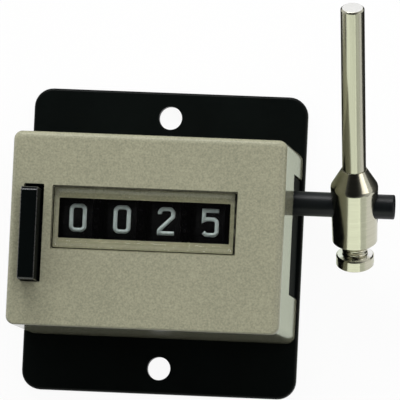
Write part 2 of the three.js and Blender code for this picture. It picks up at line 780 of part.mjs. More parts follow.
function clampScrew() {
  const end = clampDiscTop + clampDiscThickness;
  const tip = shaftRadius + standGap;
  const face = clampDiscRadius - clampDiscChamfer;
  const body = solid(turned([
    [0, -end], [face, -end], [clampDiscRadius, clampDiscChamfer - end],
    [clampDiscRadius, -clampDiscTop - clampDiscChamfer], [face, -clampDiscTop],
    [clampScrewRadius, -clampDiscTop], [clampScrewRadius, -tip], [0, -tip],
  ], shaftSides));
  const slot = rectangle(3 * clampDiscRadius, screwSlotWidth);
  return cut(body, prismY(slot, -end - overrun, screwSlotWidth - end));
}

function addLever() {
  const lever = holder(leverX, shaftY, shaftZ, leverTilt);
  add('lever_clamp', leverClamp(), nickelPlate, lever);
  add('lever_rod', leverRod(), nickelPlate, lever);
  add('clamp_screw', clampScrew(), nickelPlate, lever);
}

// The button: a tall cap through the slot, a retaining flange, a bored stem and a foot for the arm
function resetButton() {
  const flangeTop = coverInnerZ - standGap;
  const flangeBottom = flangeTop - flangeThickness;
  const top = coverFrontZ + buttonProud;
  const [low, high] = [buttonY - buttonLength / 2, buttonY + buttonLength / 2];
  const [left, right] = [slotX - buttonWidth / 2, slotX + buttonWidth / 2];
  const side = [
    at(low, flangeBottom), at(high, flangeBottom), at(high, top - buttonChamfer),
    at(high - buttonChamfer, top), at(low + buttonChamfer / 2, top), at(low, top - buttonChamfer / 2),
  ];
  const [flangeLow, flangeHigh] = [low - flangeEndLip, high + slotTopGap + flangeEndLip];
  const flange = block(left - flangeLip, right + flangeLip, flangeLow, flangeHigh, flangeBottom, flangeTop);
  const stem = block(left, right, stemY - stemLength / 2, stemY + stemLength / 2, stemEnd(), flangeTop);
  const footEnd = armTipZ + resetArmTipRadius + standGap;
  const foot = block(left, right, armTipY - footLength / 2, armTipY + footLength / 2, footEnd, flangeTop);
  const depth = springPinEntry + buttonTravel + standGap;
  const [mouth, boreEnd] = [stemEnd() - overrun, stemEnd() + depth];
  const bore = rodZ(springPinRadius + springPinGap, mouth, boreEnd, slotX, stemY, smallSides);
  return cut(join(prismX(side, left, right), flange, stem, foot), bore);
}

function buttonSpring() {
  const low = floorTop + buttonSpringWire / 2;
  const pitch = (stemEnd() - seatGap - buttonSpringWire / 2 - low) / buttonSpringTurns;
  const geometry = coil('button_spring', buttonSpringRadius, buttonSpringWire, pitch, buttonSpringTurns);
  return solid(geometry.translate(slotX, stemY, low));
}

function resetShaft() {
  const [left, right] = [slotX - resetArmThickness / 2, sideWallRight - seatGap];
  return rodX(resetShaftRadius, left, right, resetY, resetZ, smallSides);
}

// The comb: a tube on the reset shaft with one finger in the plane of each heart cam
function resetComb() {
  const bore = rodX(resetShaftRadius + pressFit, cheekLeft, sideWallLeft, resetY, resetZ, smallSides);
  const last = unitsWheelX + ratchetStart;
  const tube = rodX(combTubeRadius, cheekRight + standGap, last, resetY, resetZ, smallSides);
  const outline = [
    at(resetY - combFingerRoot, resetZ), at(resetY + combFingerRoot, resetZ),
    at(resetY + combFingerTip / 2, wheelAxisZ),
    at(resetY - combFingerTip / 2, wheelAxisZ + combFingerOver),
    at(resetY - combFingerTip, wheelAxisZ),
  ];
  const fingers = wheelNames.map((_, i) => {
    const middle = firstWheelX + i * wheelPitch + heartStart + heartWidth / 2;
    return prismX(outline, middle - combFingerThickness / 2, middle + combFingerThickness / 2);
  });
  return cut(join(tube, ...fingers), bore);
}

function resetArm() {
  const outline = armOutline(combTubeRadius, resetY, resetZ, resetArmTipRadius, armTipY, armTipZ);
  const bore = circle(resetShaftRadius + pressFit, smallSides, resetY, resetZ);
  return prismX(outline, slotX - resetArmThickness / 2, slotX + resetArmThickness / 2, [bore]);
}

add('mounting_plate', mountingPlate(), blackPaint);
add('chassis', chassis(), blackPlastic);
add('cover', cover(), beigePlastic);
add('window_lens', windowLens(), clearPlastic);
addWheels();
add('wheel_axle', rodBetweenWalls(wheelAxleRadius, wheelAxisY, boreSides), brightSteel);
add('pinion_axle', rodBetweenWalls(pinionAxleRadius, pinionAxisY, smallSides), brightSteel);
add('drive_shaft', driveShaft(), blackSteel);
add('shaft_bush', shaftBush(), bronze);
add('drive_crank', driveCrank(), zincSteel);
add('pawl_pin', pawlPin(), brightSteel);
add('drive_pawl', drivePawl(), zincSteel);
add('detent_spring', detentSpring(), springSteel);
add('return_spring', returnSpring(), springSteel);
addLever();
add('reset_button', resetButton(), blackPlastic);
add('button_spring', buttonSpring(), springSteel);
add('reset_shaft', resetShaft(), brightSteel);
add('reset_comb', resetComb(), zincSteel);
add('reset_arm', resetArm(), zincSteel);
chassisScrewPlaces.forEach(([x, y], i) => {
  add(`chassis_screw_${i + 1}`, countersunkScrew(x, y), zincSteel);
});
coverScrewPlaces.forEach(([x, y], i) => {
  add(`cover_screw_${i + 1}`, countersunkScrew(x, y), zincSteel);
});

export default group;
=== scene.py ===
import math

import bmesh
import bpy
from mathutils import Matrix, Vector


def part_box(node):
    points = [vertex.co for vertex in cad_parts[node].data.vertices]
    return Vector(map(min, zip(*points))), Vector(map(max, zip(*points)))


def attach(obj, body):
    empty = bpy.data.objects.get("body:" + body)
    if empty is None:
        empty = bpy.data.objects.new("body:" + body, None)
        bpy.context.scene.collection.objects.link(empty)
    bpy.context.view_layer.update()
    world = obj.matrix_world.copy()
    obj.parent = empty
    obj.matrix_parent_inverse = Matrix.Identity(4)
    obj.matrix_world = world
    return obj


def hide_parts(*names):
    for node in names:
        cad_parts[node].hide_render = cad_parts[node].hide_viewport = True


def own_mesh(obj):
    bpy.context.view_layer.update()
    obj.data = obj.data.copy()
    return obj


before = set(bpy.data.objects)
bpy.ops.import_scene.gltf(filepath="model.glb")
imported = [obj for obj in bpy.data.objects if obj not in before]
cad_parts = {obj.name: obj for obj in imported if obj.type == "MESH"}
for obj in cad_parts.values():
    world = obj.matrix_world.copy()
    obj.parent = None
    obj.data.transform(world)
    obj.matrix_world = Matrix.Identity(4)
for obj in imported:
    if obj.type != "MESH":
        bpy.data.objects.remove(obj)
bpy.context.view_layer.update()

bl_info = {
    "name": "Piece counter",
    "version": (1, 0, 0),
    "blender": (4, 5, 0),
    "location": "3D View > Sidebar > Counter",
    "description": "Builds the looks of a four-figure stroke counter round its packed model",
    "category": "Object",
}

# Lengths in the building code are in millimetres. A mesh is turned to metres as its object is made.
MM = 0.001
RIGHT_ANGLE = math.radians(90)
# How far a cutting tool runs past the faces that it cuts
OVERRUN = 1.0


def box_mm(node):
    """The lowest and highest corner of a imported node, in millimetres."""
    low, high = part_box(node)
    return low / MM, high / MM


def middle_mm(node):
    """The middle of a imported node's box, in millimetres."""
    low, high = box_mm(node)
    return (low + high) / 2


def linear(code):
    """A colour written as sRGB hex, as linear red, green and blue."""
    shares = [int(code[i:i + 2], 16) / 255 for i in (1, 3, 5)]
    return tuple(c / 12.92 if c <= 0.04045 else ((c + 0.055) / 1.055) ** 2.4 for c in shares)


def length(name, millimetres, description):
    """A length that a user may change, shown in the scene's own units."""
    return bpy.props.FloatProperty(
        name=name, description=description, default=millimetres * MM, min=0.0, precision=5, unit="LENGTH"
    )


def colour(name, code, description):
    """A colour that a user may change."""
    return bpy.props.FloatVectorProperty(
        name=name, description=description, default=linear(code), min=0.0, max=1.0, size=3, subtype="COLOR"
    )


# Sizes and colours that a user may change


class PlateSettings(bpy.types.PropertyGroup):
    corner: length("Corner", 3.0, "Radius of the plate's four corners")
    edge: length("Edge", 0.45, "Rounding of the painted front edge")
    hole: length("Hole", 3.7, "Diameter of the two mounting holes")
    hole_spacing: length("Hole spacing", 40.0, "Distance between the two mounting holes")
    paint: colour("Paint", "#060A09", "Colour of the stoved paint")


class CoverSettings(bpy.types.PropertyGroup):
    corner: length("Corner", 1.35, "Radius of the four upright corners")
    edge: length("Edge", 1.1, "Radius round the front face, but for its lower edge")
    low_edge: length("Lower edge", 0.3, "Radius of the front face's lower edge")
    wall: length("Wall", 1.5, "Thickness of the side walls")
    front_wall: length("Front wall", 1.6, "Thickness of the front wall")
    shade: colour("Shade", "#999A82", "Colour of the moulding")


class WindowSettings(bpy.types.PropertyGroup):
    rim: length("Rim", 0.35, "Width of the flat rim")
    slope: length("Slope", 0.5, "Width of the slope inside the rim")
    pocket: length("Pocket", 0.45, "Depth of the pocket inside the slope")
    tint: colour("Tint", "#FBFBF7", "Colour of the clear plastic")
    fit: length("Fit", 0.07, "Gap above and below the pane")
    end_fit: length("End fit", 0.05, "Gap at the pane's two ends")
    # The dark colour of this bevel is painted shade for the gap round the pane.
    end_bevel: length("End bevel", 0.2, "Width of the dark bevel at the pane's two ends")


class FigureSettings(bpy.types.PropertyGroup):
    height: length("Height", 4.45, "Height of a figure")
    width: length("Width", 2.72, "Width of a figure")
    stroke: length("Stroke", 0.63, "Width of a figure's stroke")
    ink: colour("Ink", "#BDCBD1", "Colour of the printed figures")
    drum: colour("Drum", "#030305", "Colour of the number wheels")


class ButtonSettings(bpy.types.PropertyGroup):
    cap_width: length("Cap width", 2.64, "Width of the cap that stands out of the cover")
    cap_length: length("Cap length", 14.5, "Length of the cap")
    end_slope: length("End slope", 0.5, "Chamfer at the cap's upper end")
    edge: length("Edge", 0.16, "Rounding of the moulding's edges")
    shade: colour("Shade", "#020505", "Colour of the moulding")


class LeverSettings(bpy.types.PropertyGroup):
    tilt: bpy.props.FloatProperty(
        name="Tilt",
        description="Angle of the lever out of the plate's plane",
        default=math.radians(33.0),
        subtype="ANGLE",
    )
    rod_radius: length("Rod radius", 1.88, "Radius of the lever rod")
    rod_end: length("Rod end", 35.2, "Distance of the rod's end from the drive shaft")
    shaft_radius: length("Shaft radius", 1.95, "Radius of the drive shaft")
    thread_pitch: length("Thread pitch", 0.75, "Pitch of the clamp screw's thread")
    plating: colour("Plating", "#C5C3B1", "Colour of the nickel plating")
    shaft_black: colour("Shaft black", "#101416", "Colour of the blackened drive shaft")


class StageSettings(bpy.types.PropertyGroup):
    floor_colour: colour("Floor", "#FCFCFB", "Colour of the floor")
    floor_half: length("Floor half width", 900.0, "Half the width of the floor")


# Mesh work


def rounded(half_x, half_y, radius, centre=(0.0, 0.0), steps=8):
    """Points round a rectangle with rounded corners, anticlockwise."""
    points = []
    for quarter, (side_x, side_y) in enumerate(((1, 1), (-1, 1), (-1, -1), (1, -1))):
        for step in range(steps + 1):
            angle = RIGHT_ANGLE * (quarter + step / steps)
            points.append((
                centre[0] + side_x * (half_x - radius) + radius * math.cos(angle),
                centre[1] + side_y * (half_y - radius) + radius * math.sin(angle),
            ))
    return points


def set_back(radius, depth):
    """How far a quarter-round edge of this radius has drawn in at a depth below the face."""
    if depth >= radius:
        return 0.0
    return radius - math.sqrt(radius ** 2 - (radius - depth) ** 2)


def circle(radius, sides=48, centre=(0.0, 0.0)):
    """Points round a circle, anticlockwise."""
    angles = [math.tau * i / sides for i in range(sides)]
    return [(centre[0] + radius * math.cos(angle), centre[1] + radius * math.sin(angle)) for angle in angles]


def raised(outline, height):
    """An outline's points at one height."""
    return [(x, y, height) for x, y in outline]


def skin(loops, ring=False):
    """A closed mesh over loops of points, with a lid at both ends, or joined end to end as a ring."""
    mesh = bmesh.new()
    rows = [[mesh.verts.new(point) for point in loop] for loop in loops]
    pairs = list(zip(rows, rows[1:]))
    if ring:
        pairs.append((rows[-1], rows[0]))
    else:
        mesh.faces.new(reversed(rows[0]))
        mesh.faces.new(rows[-1])
    for low, high in pairs:
        for i, corner in enumerate(low):
            j = (i + 1) % len(low)
            mesh.faces.new((corner, low[j], high[j], high[i]))
    bmesh.ops.recalc_face_normals(mesh, faces=mesh.faces)
    return mesh


def prism(outline, low, high):
    """An upright prism on an outline."""
    return skin([raised(outline, low), raised(outline, high)])


def block(low, high, radius=0.0):
    """A box between two corners, its upright edges rounded if a radius is given."""
    centre = ((low[0] + high[0]) / 2, (low[1] + high[1]) / 2)
    half = ((high[0] - low[0]) / 2, (high[1] - low[1]) / 2)
    if radius:
        return prism(rounded(*half, radius, centre, steps=4), low[2], high[2])
    corners = [(half[0], half[1]), (-half[0], half[1]), (-half[0], -half[1]), (half[0], -half[1])]
    return prism([(centre[0] + x, centre[1] + y) for x, y in corners], low[2], high[2])


def turned(profile, sides=64, ring=False):
    """A turned solid from (radius, height) pairs round the upright axis."""
    return skin([raised(circle(radius, sides), height) for radius, height in profile], ring)


def coiled(radius, wire, low, high, turns):
    """A spring of round wire between two heights, its first and last turn closed up."""
    steps = 24
    sides = 10
    closed_turns = 0.75
    closed_pitch = wire * 1.1
    climb = high - low - wire - closed_pitch * turns

    def middle(i):
        turn = i / steps
        share = min(1.0, max(0.0, (turn - closed_turns) / (turns - 2 * closed_turns)))
        height = low + wire / 2 + closed_pitch * turn + climb * share
        return Vector((radius * math.cos(math.tau * turn), radius * math.sin(math.tau * turn), height))

    rings = []
    for i in range(turns * steps + 1):
        here = middle(i)
        ahead = (middle(i + 1) - middle(i - 1)).normalized()
        outward = Vector((here.x, here.y, 0.0)).normalized()
        above = outward.cross(ahead)
        rings.append([here + (outward * x + above * y) for x, y in circle(wire / 2, sides)])
    return skin(rings)


def moved(mesh, matrix):
    """The mesh, put in place by a matrix."""
    bmesh.ops.transform(mesh, matrix=matrix, verts=mesh.verts)
    return mesh


def placed(name, data):
    """A new object with its data, in the scene."""
    made = bpy.data.objects.new(name, data)
    bpy.context.scene.collection.objects.link(made)
    return made


def shaped(name, mesh, finish=None):
    """A new object of a mesh, which is used up, with its finish if it has one."""
    data = bpy.data.meshes.new(name)
    mesh.to_mesh(data)
    mesh.free()
    if finish:
        data.materials.append(finish)
    return placed(name, data)


def worked(mesh, tools, operation="DIFFERENCE"):
    """The mesh after each tool is cut out of it or joined to it. The tools are used up."""
    host = shaped("scratch", mesh)
    holders = [shaped("scratch", tool) for tool in tools]
    for holder in holders:
        step = host.modifiers.new("work", "BOOLEAN")
        step.operation = operation
        step.solver = "EXACT"
        step.object = holder
    bpy.context.view_layer.update()
    result = bmesh.new()
    result.from_object(host, bpy.context.evaluated_depsgraph_get())
    for scratch in [host, *holders]:
        data = scratch.data
        bpy.data.objects.remove(scratch)
        bpy.data.meshes.remove(data)
    return result


def soften(made, edge, steps=2):
    """Rounds an object's sharp edges a little and keeps its flats flat to the eye."""
    if edge:
        bevel = made.modifiers.new("edges", "BEVEL")
        bevel.width = edge * MM
        bevel.segments = steps
        bevel.limit_method = "ANGLE"
        bevel.angle_limit = math.radians(30)
        bevel.miter_outer = "MITER_ARC"
    normals = made.modifiers.new("flats", "WEIGHTED_NORMAL")
    normals.keep_sharp = True


def piece(name, mesh, finish, body, nodes=(), place=None, edge=0.0, steps=2):
    """Makes an object of a mesh in millimetres, and puts it on its body."""
    bmesh.ops.recalc_face_normals(mesh, faces=mesh.faces)
    bmesh.ops.scale(mesh, vec=(MM, MM, MM), verts=mesh.verts)
    if place:
        moved(mesh, place)
    for face in mesh.faces:
        face.smooth = True
    made = shaped(name, mesh, finish)
    soften(made, edge, steps)
    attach(made, body)
    if nodes:
        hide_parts(*nodes)
    return made


def kept(name, finish, edge=0.0):
    """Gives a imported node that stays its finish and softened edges."""
    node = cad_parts[name]
    for holder in node.material_slots:
        holder.material = finish
    if edge:
        flat = node.modifiers.new("merge flats", "DECIMATE")
        flat.decimate_type = "DISSOLVE"
        flat.angle_limit = math.radians(0.5)
    soften(node, edge)


# Finishes


def put(tree, kind, settings=None, links=None):
    """Adds one node, with its options and socket values, and links what feeds it."""
    node = tree.nodes.new("ShaderNode" + kind)
    for name, value in (settings or {}).items():
        if name in node.bl_rna.properties.keys():
            setattr(node, name, value)
        else:
            socket = node.inputs[name]
            socket.default_value = (*value, 1.0) if socket.type == "RGBA" and len(value) == 3 else value
    for name, source in (links or {}).items():
        tree.links.new(source, node.inputs[name])
    return node


def per(millimetres):
    """The texture scale at which one feature of a pattern is this size."""
    return 1.0 / (millimetres * MM)


def surface(name, settings):
    """A new material. Gives it, its tree, its shader and the place on the piece, for its patterns."""
    material = bpy.data.materials.new(name)
    material.use_nodes = True
    tree = material.node_tree
    tree.nodes.clear()
    shader = put(tree, "BsdfPrincipled", settings)
    put(tree, "OutputMaterial", {}, {"Surface": shader.outputs["BSDF"]})
    return material, tree, shader, put(tree, "TexCoord").outputs["Object"]


def shaded(base, factor):
    """A colour made lighter or darker by a factor."""
    return tuple(min(1.0, c * factor) for c in base)


def vary(tree, shader, pattern, tones=None, gloss=None, relief=None, socket="Base Color"):
    """Lets a pattern vary a surface: its colour between two tones, its roughness between two values, and
    its relief by a strength and a depth in millimetres."""
    if tones:
        mix = put(tree, "Mix", {"data_type": "RGBA", 6: tones[0], 7: tones[1]}, {0: pattern})
        tree.links.new(mix.outputs[2], shader.inputs[socket])
    if gloss:
        span = put(tree, "MapRange", {"To Min": gloss[0], "To Max": gloss[1]}, {"Value": pattern})
        tree.links.new(span.outputs["Result"], shader.inputs["Roughness"])
    if relief:
        bump = put(tree, "Bump", {"Strength": relief[0], "Distance": relief[1] * MM}, {"Height": pattern})
        tree.links.new(bump.outputs["Normal"], shader.inputs["Normal"])


def stoved_paint(base):
    """Stoved black paint on sheet steel: a near-black satin film, cloudy and uneven where it flowed."""
    material, tree, shader, spot = surface("stoved_paint_on_steel", {"IOR": 1.5, "Specular IOR Level": 0.1})
    cloud = put(tree, "TexNoise", {"Scale": per(7.0), "Detail": 3.0}, {"Vector": spot})
    film = put(tree, "TexNoise", {"Scale": per(0.55), "Detail": 2.0}, {"Vector": spot})
    vary(tree, shader, cloud.outputs["Fac"], tones=(shaded(base, 0.55), shaded(base, 1.5)))
    vary(tree, shader, film.outputs["Fac"], gloss=(0.34, 0.5), relief=(0.25, 0.02))
    return material


def eroded_abs(base):
    """Injection-moulded ABS: its face spark-eroded, matt and grained, its side walls smooth and glossy."""
    material, tree, shader, spot = surface("spark_eroded_abs", {"IOR": 1.53, "Specular IOR Level": 0.32})
    facing = put(tree, "SeparateXYZ", {}, {"Vector": put(tree, "TexCoord").outputs["Normal"]})
    front = put(tree, "MapRange", {
        "interpolation_type": "SMOOTHSTEP", "From Min": 0.6, "From Max": 0.97,
    }, {"Value": facing.outputs["Z"]})
    flow = put(tree, "TexNoise", {"Scale": per(9.0), "Detail": 1.0}, {"Vector": spot})
    broad = put(tree, "MapRange", {"To Min": 0.3, "To Max": 0.7}, {"Value": flow.outputs["Fac"]})
    # The real grain is about 0.1 mm. It is drawn at 0.3 mm so that it shows at the photograph's size.
    grain = put(tree, "TexNoise", {"Scale": per(0.3), "Detail": 2.0, "Roughness": 0.6}, {"Vector": spot})
    both = put(tree, "Math", {"operation": "MULTIPLY_ADD", 1: 2.2}, {
        0: grain.outputs["Fac"], 2: broad.outputs["Result"],
    })
    share = put(tree, "MapRange", {"From Min": 1.05, "From Max": 2.15}, {"Value": both.outputs["Value"]})
    warm = (base[0] * 1.26, base[1] * 1.2, base[2] * 1.2)
    vary(tree, shader, share.outputs["Result"], tones=(shaded(base, 0.75), warm))
    matt = put(tree, "MapRange", {"To Min": 0.42, "To Max": 0.6}, {"Value": grain.outputs["Fac"]})
    gloss = put(tree, "Mix", {"data_type": "FLOAT", 2: 0.14}, {
        0: front.outputs["Result"], 3: matt.outputs["Result"],
    })
    tree.links.new(gloss.outputs[0], shader.inputs["Roughness"])
    height = put(tree, "Math", {"operation": "MULTIPLY"}, {
        0: grain.outputs["Fac"], 1: front.outputs["Result"],
    })
    vary(tree, shader, height.outputs["Value"], relief=(0.35, 0.02))
    return material


def lit_through(tree, shader, tint):
    """Lets the lamps' light straight through a clear piece, so that what lies behind it is lit."""
    path = put(tree, "LightPath")
    passing = put(tree, "BsdfTransparent", {"Color": tint})
    mix = put(tree, "MixShader", {}, {
        0: path.outputs["Is Shadow Ray"], 1: shader.outputs["BSDF"], 2: passing.outputs["BSDF"],
    })
    tree.links.new(mix.outputs["Shader"], tree.nodes["Material Output"].inputs["Surface"])


def clear_acrylic(base):
    """Moulded clear acrylic: glossy, faintly warm, with fine rubbing marks. Lamps shine through it."""
    material, tree, shader, spot = surface(
        "moulded_clear_acrylic", {"IOR": 1.49, "Transmission Weight": 1.0, "Base Color": base}
    )
    rubbing = put(tree, "TexNoise", {"Scale": per(1.6), "Detail": 4.0}, {"Vector": spot})
    vary(tree, shader, rubbing.outputs["Fac"], gloss=(0.0, 0.07))
    lit_through(tree, shader, base)
    return material


def painted_gap_shade():
    """The pane's sawn acrylic edge in its hairline gap, near-black with lighter specks: painted shade for the
    gap's shadow.
    """
    material, tree, shader, spot = surface(
        "gap_shade_painted_on_pane", {"IOR": 1.5, "Specular IOR Level": 0.1, "Roughness": 0.8}
    )
    specks = put(tree, "TexNoise", {"Scale": per(1.2), "Detail": 3.0}, {"Vector": spot})
    share = put(tree, "MapRange", {"From Min": 0.45, "From Max": 0.8}, {"Value": specks.outputs["Fac"]})
    vary(tree, shader, share.outputs["Result"], tones=(linear("#0A0B08"), linear("#5B5A4C")))
    lit_through(tree, shader, (1.0, 1.0, 1.0))
    return material


def moulded_plastic(name, base, roughness, mirror=0.25):
    """Moulded plastic: even, softly glossy, with a faint flow pattern."""
    material, tree, shader, spot = surface(name, {"IOR": 1.5, "Specular IOR Level": mirror})
    flow = put(tree, "TexNoise", {"Scale": per(2.5), "Detail": 3.0, "Distortion": 0.6}, {"Vector": spot})
    fine = put(tree, "TexNoise", {"Scale": per(0.35), "Detail": 2.0}, {"Vector": spot})
    vary(tree, shader, flow.outputs["Fac"], tones=(shaded(base, 0.6), shaded(base, 1.4)))
    gloss = (roughness - 0.07, roughness + 0.07)
    vary(tree, shader, fine.outputs["Fac"], gloss=gloss, relief=(0.15, 0.015))
    return material


def printed_ink(base):
    """Pad-printed ink: pale blue-grey, matt, a little thin in places."""
    material, tree, shader, spot = surface("pad_printed_ink", {"IOR": 1.5})
    cover = put(tree, "TexNoise", {"Scale": per(0.45), "Detail": 3.0}, {"Vector": spot})
    tones = (shaded(base, 0.72), shaded(base, 1.15))
    vary(tree, shader, cover.outputs["Fac"], tones=tones, gloss=(0.5, 0.7))
    return material


UPRIGHT = (0.0, 0.0, 0.0)
ALONG_SHAFT = (0.0, RIGHT_ANGLE, 0.0)


def streaked(tree, spot, along, across, turn):
    """Noise drawn out along one axis of a piece: the marks of its last cut, by their real sizes."""
    drawn = put(tree, "Mapping", {
        "vector_type": "TEXTURE", "Rotation": turn, "Scale": (across * MM, across * MM, along * MM),
    }, {"Vector": spot})
    marks = put(tree, "TexNoise", {"Scale": 1.0, "Detail": 4.0}, {"Vector": drawn.outputs["Vector"]})
    return marks.outputs["Fac"]


def drawn_metal(name, base, roughness, along, across, strength=0.2, turn=UPRIGHT):
    """Bare or plated metal: bright, with the streaks of its last cut along one axis of the piece."""
    material, tree, shader, spot = surface(name, {"Metallic": 1.0})
    streak = streaked(tree, spot, along, across, turn)
    tones = (shaded(base, 0.8), shaded(base, 1.1))
    gloss = (roughness * 0.7, roughness * 1.4)
    vary(tree, shader, streak, tones=tones, gloss=gloss, relief=(strength, 0.01))
    return material


def blackened_steel(base):
    """Turned steel with a black oxide skin: dark, softly shining, with fine rings left by the lathe."""
    material, tree, shader, spot = surface(
        "black_oxide_turned_steel", {"IOR": 1.5, "Specular IOR Level": 0.25}
    )
    rings = streaked(tree, spot, along=0.25, across=6.0, turn=ALONG_SHAFT)
    tones = (shaded(base, 0.6), shaded(base, 1.4))
    vary(tree, shader, rings, tones=tones, gloss=(0.3, 0.48), relief=(0.2, 0.01))
    return material


# Pieces

COVER_SCREWS = ("cover_screw_1", "cover_screw_2")
SCREWS = ("chassis_screw_1", "chassis_screw_2", *COVER_SCREWS)
SCREW_RADIUS = 1.0
SCREW_HOLE_RADIUS = 1.15
SCREW_HEAD_RADIUS = 1.8
SCREW_HEAD_DEPTH = 1.0
SINK_RADIUS = 1.92
SINK_START = -0.1


class COUNTER_OT_plate(bpy.types.Operator):
    """Builds the painted mounting plate with its holes and countersinks"""
    bl_idname = "counter.plate"
    bl_label = "Mounting plate"

    def execute(self, context):
        size = context.scene.counter_plate
        low, high = box_mm("mounting_plate")
        edge = size.edge / MM
        corner = size.corner / MM
        back_edge = 0.1
        loops = [
            raised(rounded(high.x - back_edge, high.y - back_edge, corner - back_edge), low.z),
            raised(rounded(high.x, high.y, corner), low.z + back_edge),
        ]
        fillet_steps = 5
        for step in range(fillet_steps + 1):
            angle = RIGHT_ANGLE * step / fillet_steps
            inset = edge * (1 - math.cos(angle))
            outline = rounded(high.x - inset, high.y - inset, corner - inset)
            loops.append(raised(outline, high.z - edge + edge * math.sin(angle)))
        hole = size.hole / MM / 2
        reach = size.hole_spacing / MM / 2
        past = high.z + OVERRUN
        tools = [prism(circle(hole, 64, (0.0, y)), low.z - OVERRUN, past) for y in (-reach, reach)]
        sink = [(SINK_RADIUS, SINK_START), (SCREW_HOLE_RADIUS, SCREW_HEAD_DEPTH), (SCREW_HOLE_RADIUS, past)]
        for name in SCREWS:
            middle = middle_mm(name)
            tools.append(moved(turned(sink, 48), Matrix.Translation((middle.x, middle.y, low.z))))
        mesh = worked(skin(loops), tools)
        piece(
            "painted_plate", mesh, stoved_paint(tuple(size.paint)), "case",
            ["mounting_plate"], edge=0.18, steps=3,
        )
        return {"FINISHED"}


class COUNTER_OT_cover(bpy.types.Operator):
    """Builds the moulded cover with its button slot, window opening, side notch and screw bosses"""
    bl_idname = "counter.cover"
    bl_label = "Cover"

    def execute(self, context):
        size = context.scene.counter_cover
        high = box_mm("cover")[1]
        shell = worked(self.make_shell(size), self.make_bosses(), "UNION")
        ceiling = high.z - size.front_wall / MM
        mesh = worked(shell, self.make_cuts(ceiling, size.wall / MM))
        piece(
            "moulded_cover", mesh, eroded_abs(tuple(size.shade)), "case",
            ["cover"], edge=0.12, steps=2,
        )
        return {"FINISHED"}

    def make_shell(self, size):
        """The open box, its front edge rounded, and sharper along the bottom."""
        low, high = box_mm("cover")
        corner = size.corner / MM
        edge = size.edge / MM
        low_edge = size.low_edge / MM
        wall = size.wall / MM
        inner_corner = 0.5
        face_corner = 0.45
        inner = rounded(high.x - wall, high.y - wall, inner_corner)
        loops = [
            raised(inner, high.z - size.front_wall / MM),
            raised(inner, low.z),
            raised(rounded(high.x, high.y, corner), low.z),
        ]
        fillet_steps = 7
        depths = [edge * (1 - math.sin(RIGHT_ANGLE * step / fillet_steps)) for step in range(fillet_steps)]
        for depth in (*depths, low_edge * 0.35, low_edge * 0.1, 0.0):
            inset = set_back(edge, depth)
            low_inset = set_back(low_edge, depth)
            bend = corner - inset * (corner - face_corner) / edge
            half_y = high.y - (inset + low_inset) / 2
            outline = rounded(high.x - inset, half_y, bend, (0.0, (low_inset - inset) / 2))
            loops.append(raised(outline, high.z - depth))
        return skin(loops)

    def make_bosses(self):
        """The two bosses that take the cover's screws."""
        low = box_mm("cover")[0]
        boss_radius = 1.8
        boss_height = 8.0
        places = [middle_mm(name).xy for name in COVER_SCREWS]
        return [prism(circle(boss_radius, 40, place), low.z, low.z + boss_height) for place in places]

    def make_cuts(self, ceiling, wall):
        """The screws' cores, the button's slot, the window with its recess, and the notch round the shaft."""
        low, high = box_mm("cover")
        above = high.z + OVERRUN
        core_radius = 1.03
        core_top = 8.0
        cuts = []
        for name in COVER_SCREWS:
            cuts.append(prism(circle(core_radius, 32, middle_mm(name).xy), low.z - OVERRUN, core_top))
        slot_half = 1.58
        slot_low, slot_high = -8.435, 6.915
        slot_x = middle_mm("reset_button").x
        cuts.append(block(
            (slot_x - slot_half, slot_low, ceiling - OVERRUN),
            (slot_x + slot_half, slot_high, above), radius=0.2,
        ))
        lens_low, lens_high = box_mm("window_lens")
        lens_fit = 0.15
        ledge_x, ledge_y = 1.02 - lens_fit, 1.87 - lens_fit
        cuts.append(block(
            (lens_low.x + ledge_x, lens_low.y + ledge_y, ceiling - OVERRUN),
            (lens_high.x - ledge_x, lens_high.y - ledge_y, above), radius=0.25,
        ))
        cuts.append(block(
            (lens_low.x - lens_fit, lens_low.y - lens_fit, lens_low.z),
            (lens_high.x + lens_fit, lens_high.y + lens_fit, above), radius=0.2,
        ))
        shaft = middle_mm("drive_shaft")
        notch_below, notch_above, notch_front = 14.7, 4.35, 3.4
        cuts.append(block(
            (high.x - wall - OVERRUN, shaft.y - notch_below, low.z - OVERRUN),
            (high.x + OVERRUN, shaft.y + notch_above, shaft.z + notch_front),
        ))
        return cuts


class COUNTER_OT_window(bpy.types.Operator):
    """Builds the clear pane with its flat rim and its sloped and stepped pocket"""
    bl_idname = "counter.window"
    bl_label = "Window pane"

    def execute(self, context):
        size = context.scene.counter_window
        low, high = box_mm("window_lens")
        middle = middle_mm("window_lens")
        half_x = (high.x - low.x) / 2 - size.end_fit / MM
        half_y = (high.y - low.y) / 2 - size.fit / MM
        corner = 0.2
        bevel = 0.08
        end_bevel = size.end_bevel / MM
        rim = size.rim / MM
        inside = rim + size.slope / MM
        floor = high.z - size.pocket / MM
        step_width, step_depth = 0.3, 0.1
        stand_off = 0.02

        def level(inset_x, inset_y, height):
            return raised(rounded(half_x - inset_x, half_y - inset_y, corner, middle.xy, steps=4), height)

        loops = [
            level(0.0, 0.0, low.z + stand_off),
            level(0.0, 0.0, high.z - bevel),
            level(end_bevel, bevel, high.z),
            level(rim, rim, high.z),
            level(inside, inside, floor),
            level(inside + 0.02, inside + step_width, floor),
            level(inside + 0.05, inside + step_width + 0.05, floor - step_depth),
        ]
        pane = piece(
            "window_pane", skin(loops), clear_acrylic(tuple(size.tint)), "case",
            ["window_lens"], edge=0.04, steps=2,
        )
        # The pane's outer faces and their bevel get a near-black material: painted shade for the narrow gap
        # round it.
        pane.data.materials.append(painted_gap_shade())
        for face in pane.data.polygons:
            off_x = abs(face.center.x / MM - middle.x) / (half_x - end_bevel)
            off_y = abs(face.center.y / MM - middle.y) / (half_y - bevel)
            if max(off_x, off_y) > 1 and abs(face.normal.z) < 0.97:
                face.material_index = 1
        return {"FINISHED"}


